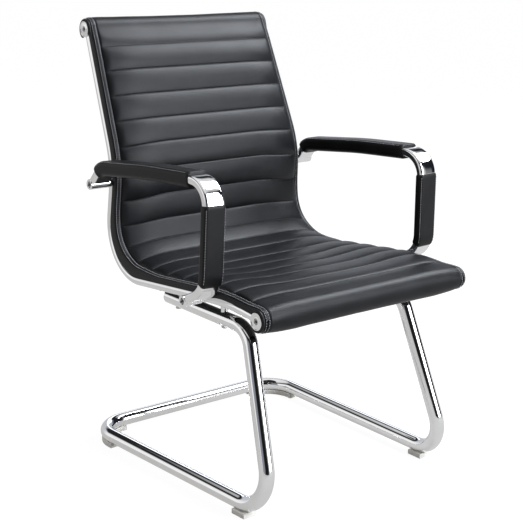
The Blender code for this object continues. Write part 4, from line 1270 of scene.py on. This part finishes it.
def build_stage():
    """Floor that reads white to the camera, pale grey in the metal, and takes a faint shadow."""
    just_below = (0.0, 0.0, -0.0005)
    floor = mesh_object(
        "studio_floor",
        lambda bm: bmesh.ops.create_grid(bm, x_segments=1, y_segments=1, size=30.0),
        just_below,
    )
    material, tree, shader = new_material("studio_floor")
    settings = {"Base Color": (0.12, 0.12, 0.12, 1.0), "Roughness": 0.9, "Specular IOR Level": 0.0}
    fill_in(tree, shader, settings)
    to_camera, to_mirror = shown(tree)
    mirrored = chosen(tree, to_mirror, glow(tree, WHITE, 0.0), glow(tree, (1.0, 0.985, 0.96, 1.0), 0.5))
    seen = chosen(tree, to_camera, mirrored, glow(tree, WHITE, 0.93))
    surface = output_of(tree, "ShaderNodeAddShader", 0, links={0: shader.outputs[0], 1: seen})
    tree.links.new(surface, tree.nodes["Material Output"].inputs["Surface"])
    floor.data.materials.append(material)


def mapped(tree, value, low, high):
    settings = {"From Min": low, "From Max": high}
    return output_of(tree, "ShaderNodeMapRange", "Result", settings, {"Value": value})


def build_world():
    """White to the camera, dim grey light, and a studio of screens and dark gaps for reflections."""
    world = bpy.data.worlds.new("studio")
    bpy.context.scene.world = world
    world.use_nodes = True
    tree = world.node_tree
    tree.nodes.clear()
    split = tree.nodes.new("ShaderNodeSeparateXYZ")
    tree.links.new(output_of(tree, "ShaderNodeTexCoord", "Generated"), split.inputs[0])
    bearing = computed(tree, "ARCTAN2", split.outputs["Y"], split.outputs["X"])
    height = mapped(tree, split.outputs["Z"], 0.0, 1.0)
    room = colour_mix(tree, "MIX", {
        "Factor": ramp(tree, height, WALL_TOP),
        "A": ramp(tree, mapped(tree, bearing, -math.pi, math.pi), WALLS),
        "B": ramp(tree, height, CEILING),
    })
    mirrored = output_of(tree, "ShaderNodeBackground", 0, links={"Color": room})
    plain = output_of(tree, "ShaderNodeBackground", 0, {"Color": WHITE, "Strength": 0.55})
    white = output_of(tree, "ShaderNodeBackground", 0, {"Color": WHITE})
    to_camera, to_mirror = shown(tree)
    seen = chosen(tree, to_camera, chosen(tree, to_mirror, plain, mirrored), white)
    tree.links.new(seen, tree.nodes.new("ShaderNodeOutputWorld").inputs["Surface"])


def build_lights():
    """Softboxes that face the seat."""
    for name, location, size, energy in LAMPS:
        lamp = bpy.data.lights.new(name, "AREA")
        lamp.shape = "RECTANGLE"
        lamp.size, lamp.size_y = size
        lamp.energy = energy
        lamp.color = COOL
        towards_seat = Vector((0.0, 0.0, 0.5)) - Vector(location)
        add_object(name, lamp, location, towards_seat.to_track_quat("-Z", "Y").to_euler())


def build_camera():
    """The photograph's place and angle."""
    camera = bpy.data.cameras.new("camera")
    camera.sensor_width = 36.0
    camera.lens = 85.35
    location = (-1.578, DATUM_Y - 2.283, 1.047)
    rotation = (math.radians(76.16), 0.0, math.radians(-38.22))
    bpy.context.scene.camera = add_object("camera", camera, location, rotation)


dress_frame()
build_base_tube()
build_rails()
build_arm_bars()
build_bosses()
build_barrels()
build_glides()
build_sling()
build_sleeves()
piece_from(back_panel_mesh, "back_panel", BACK_LEATHER, ["sling_back_cover"])
piece_from(roll_welts, "roll_welts", LEATHER)
piece_from(edge_stitches, "edge_stitching", THREAD)
piece_from(seam_stitches, "seam_stitching", SEAM_THREAD)
piece_from(sleeve_stitches, "sleeve_stitching", THREAD)
build_stage()
build_world()
build_lights()
build_camera()
bpy.context.scene.view_settings.view_transform = "Standard"
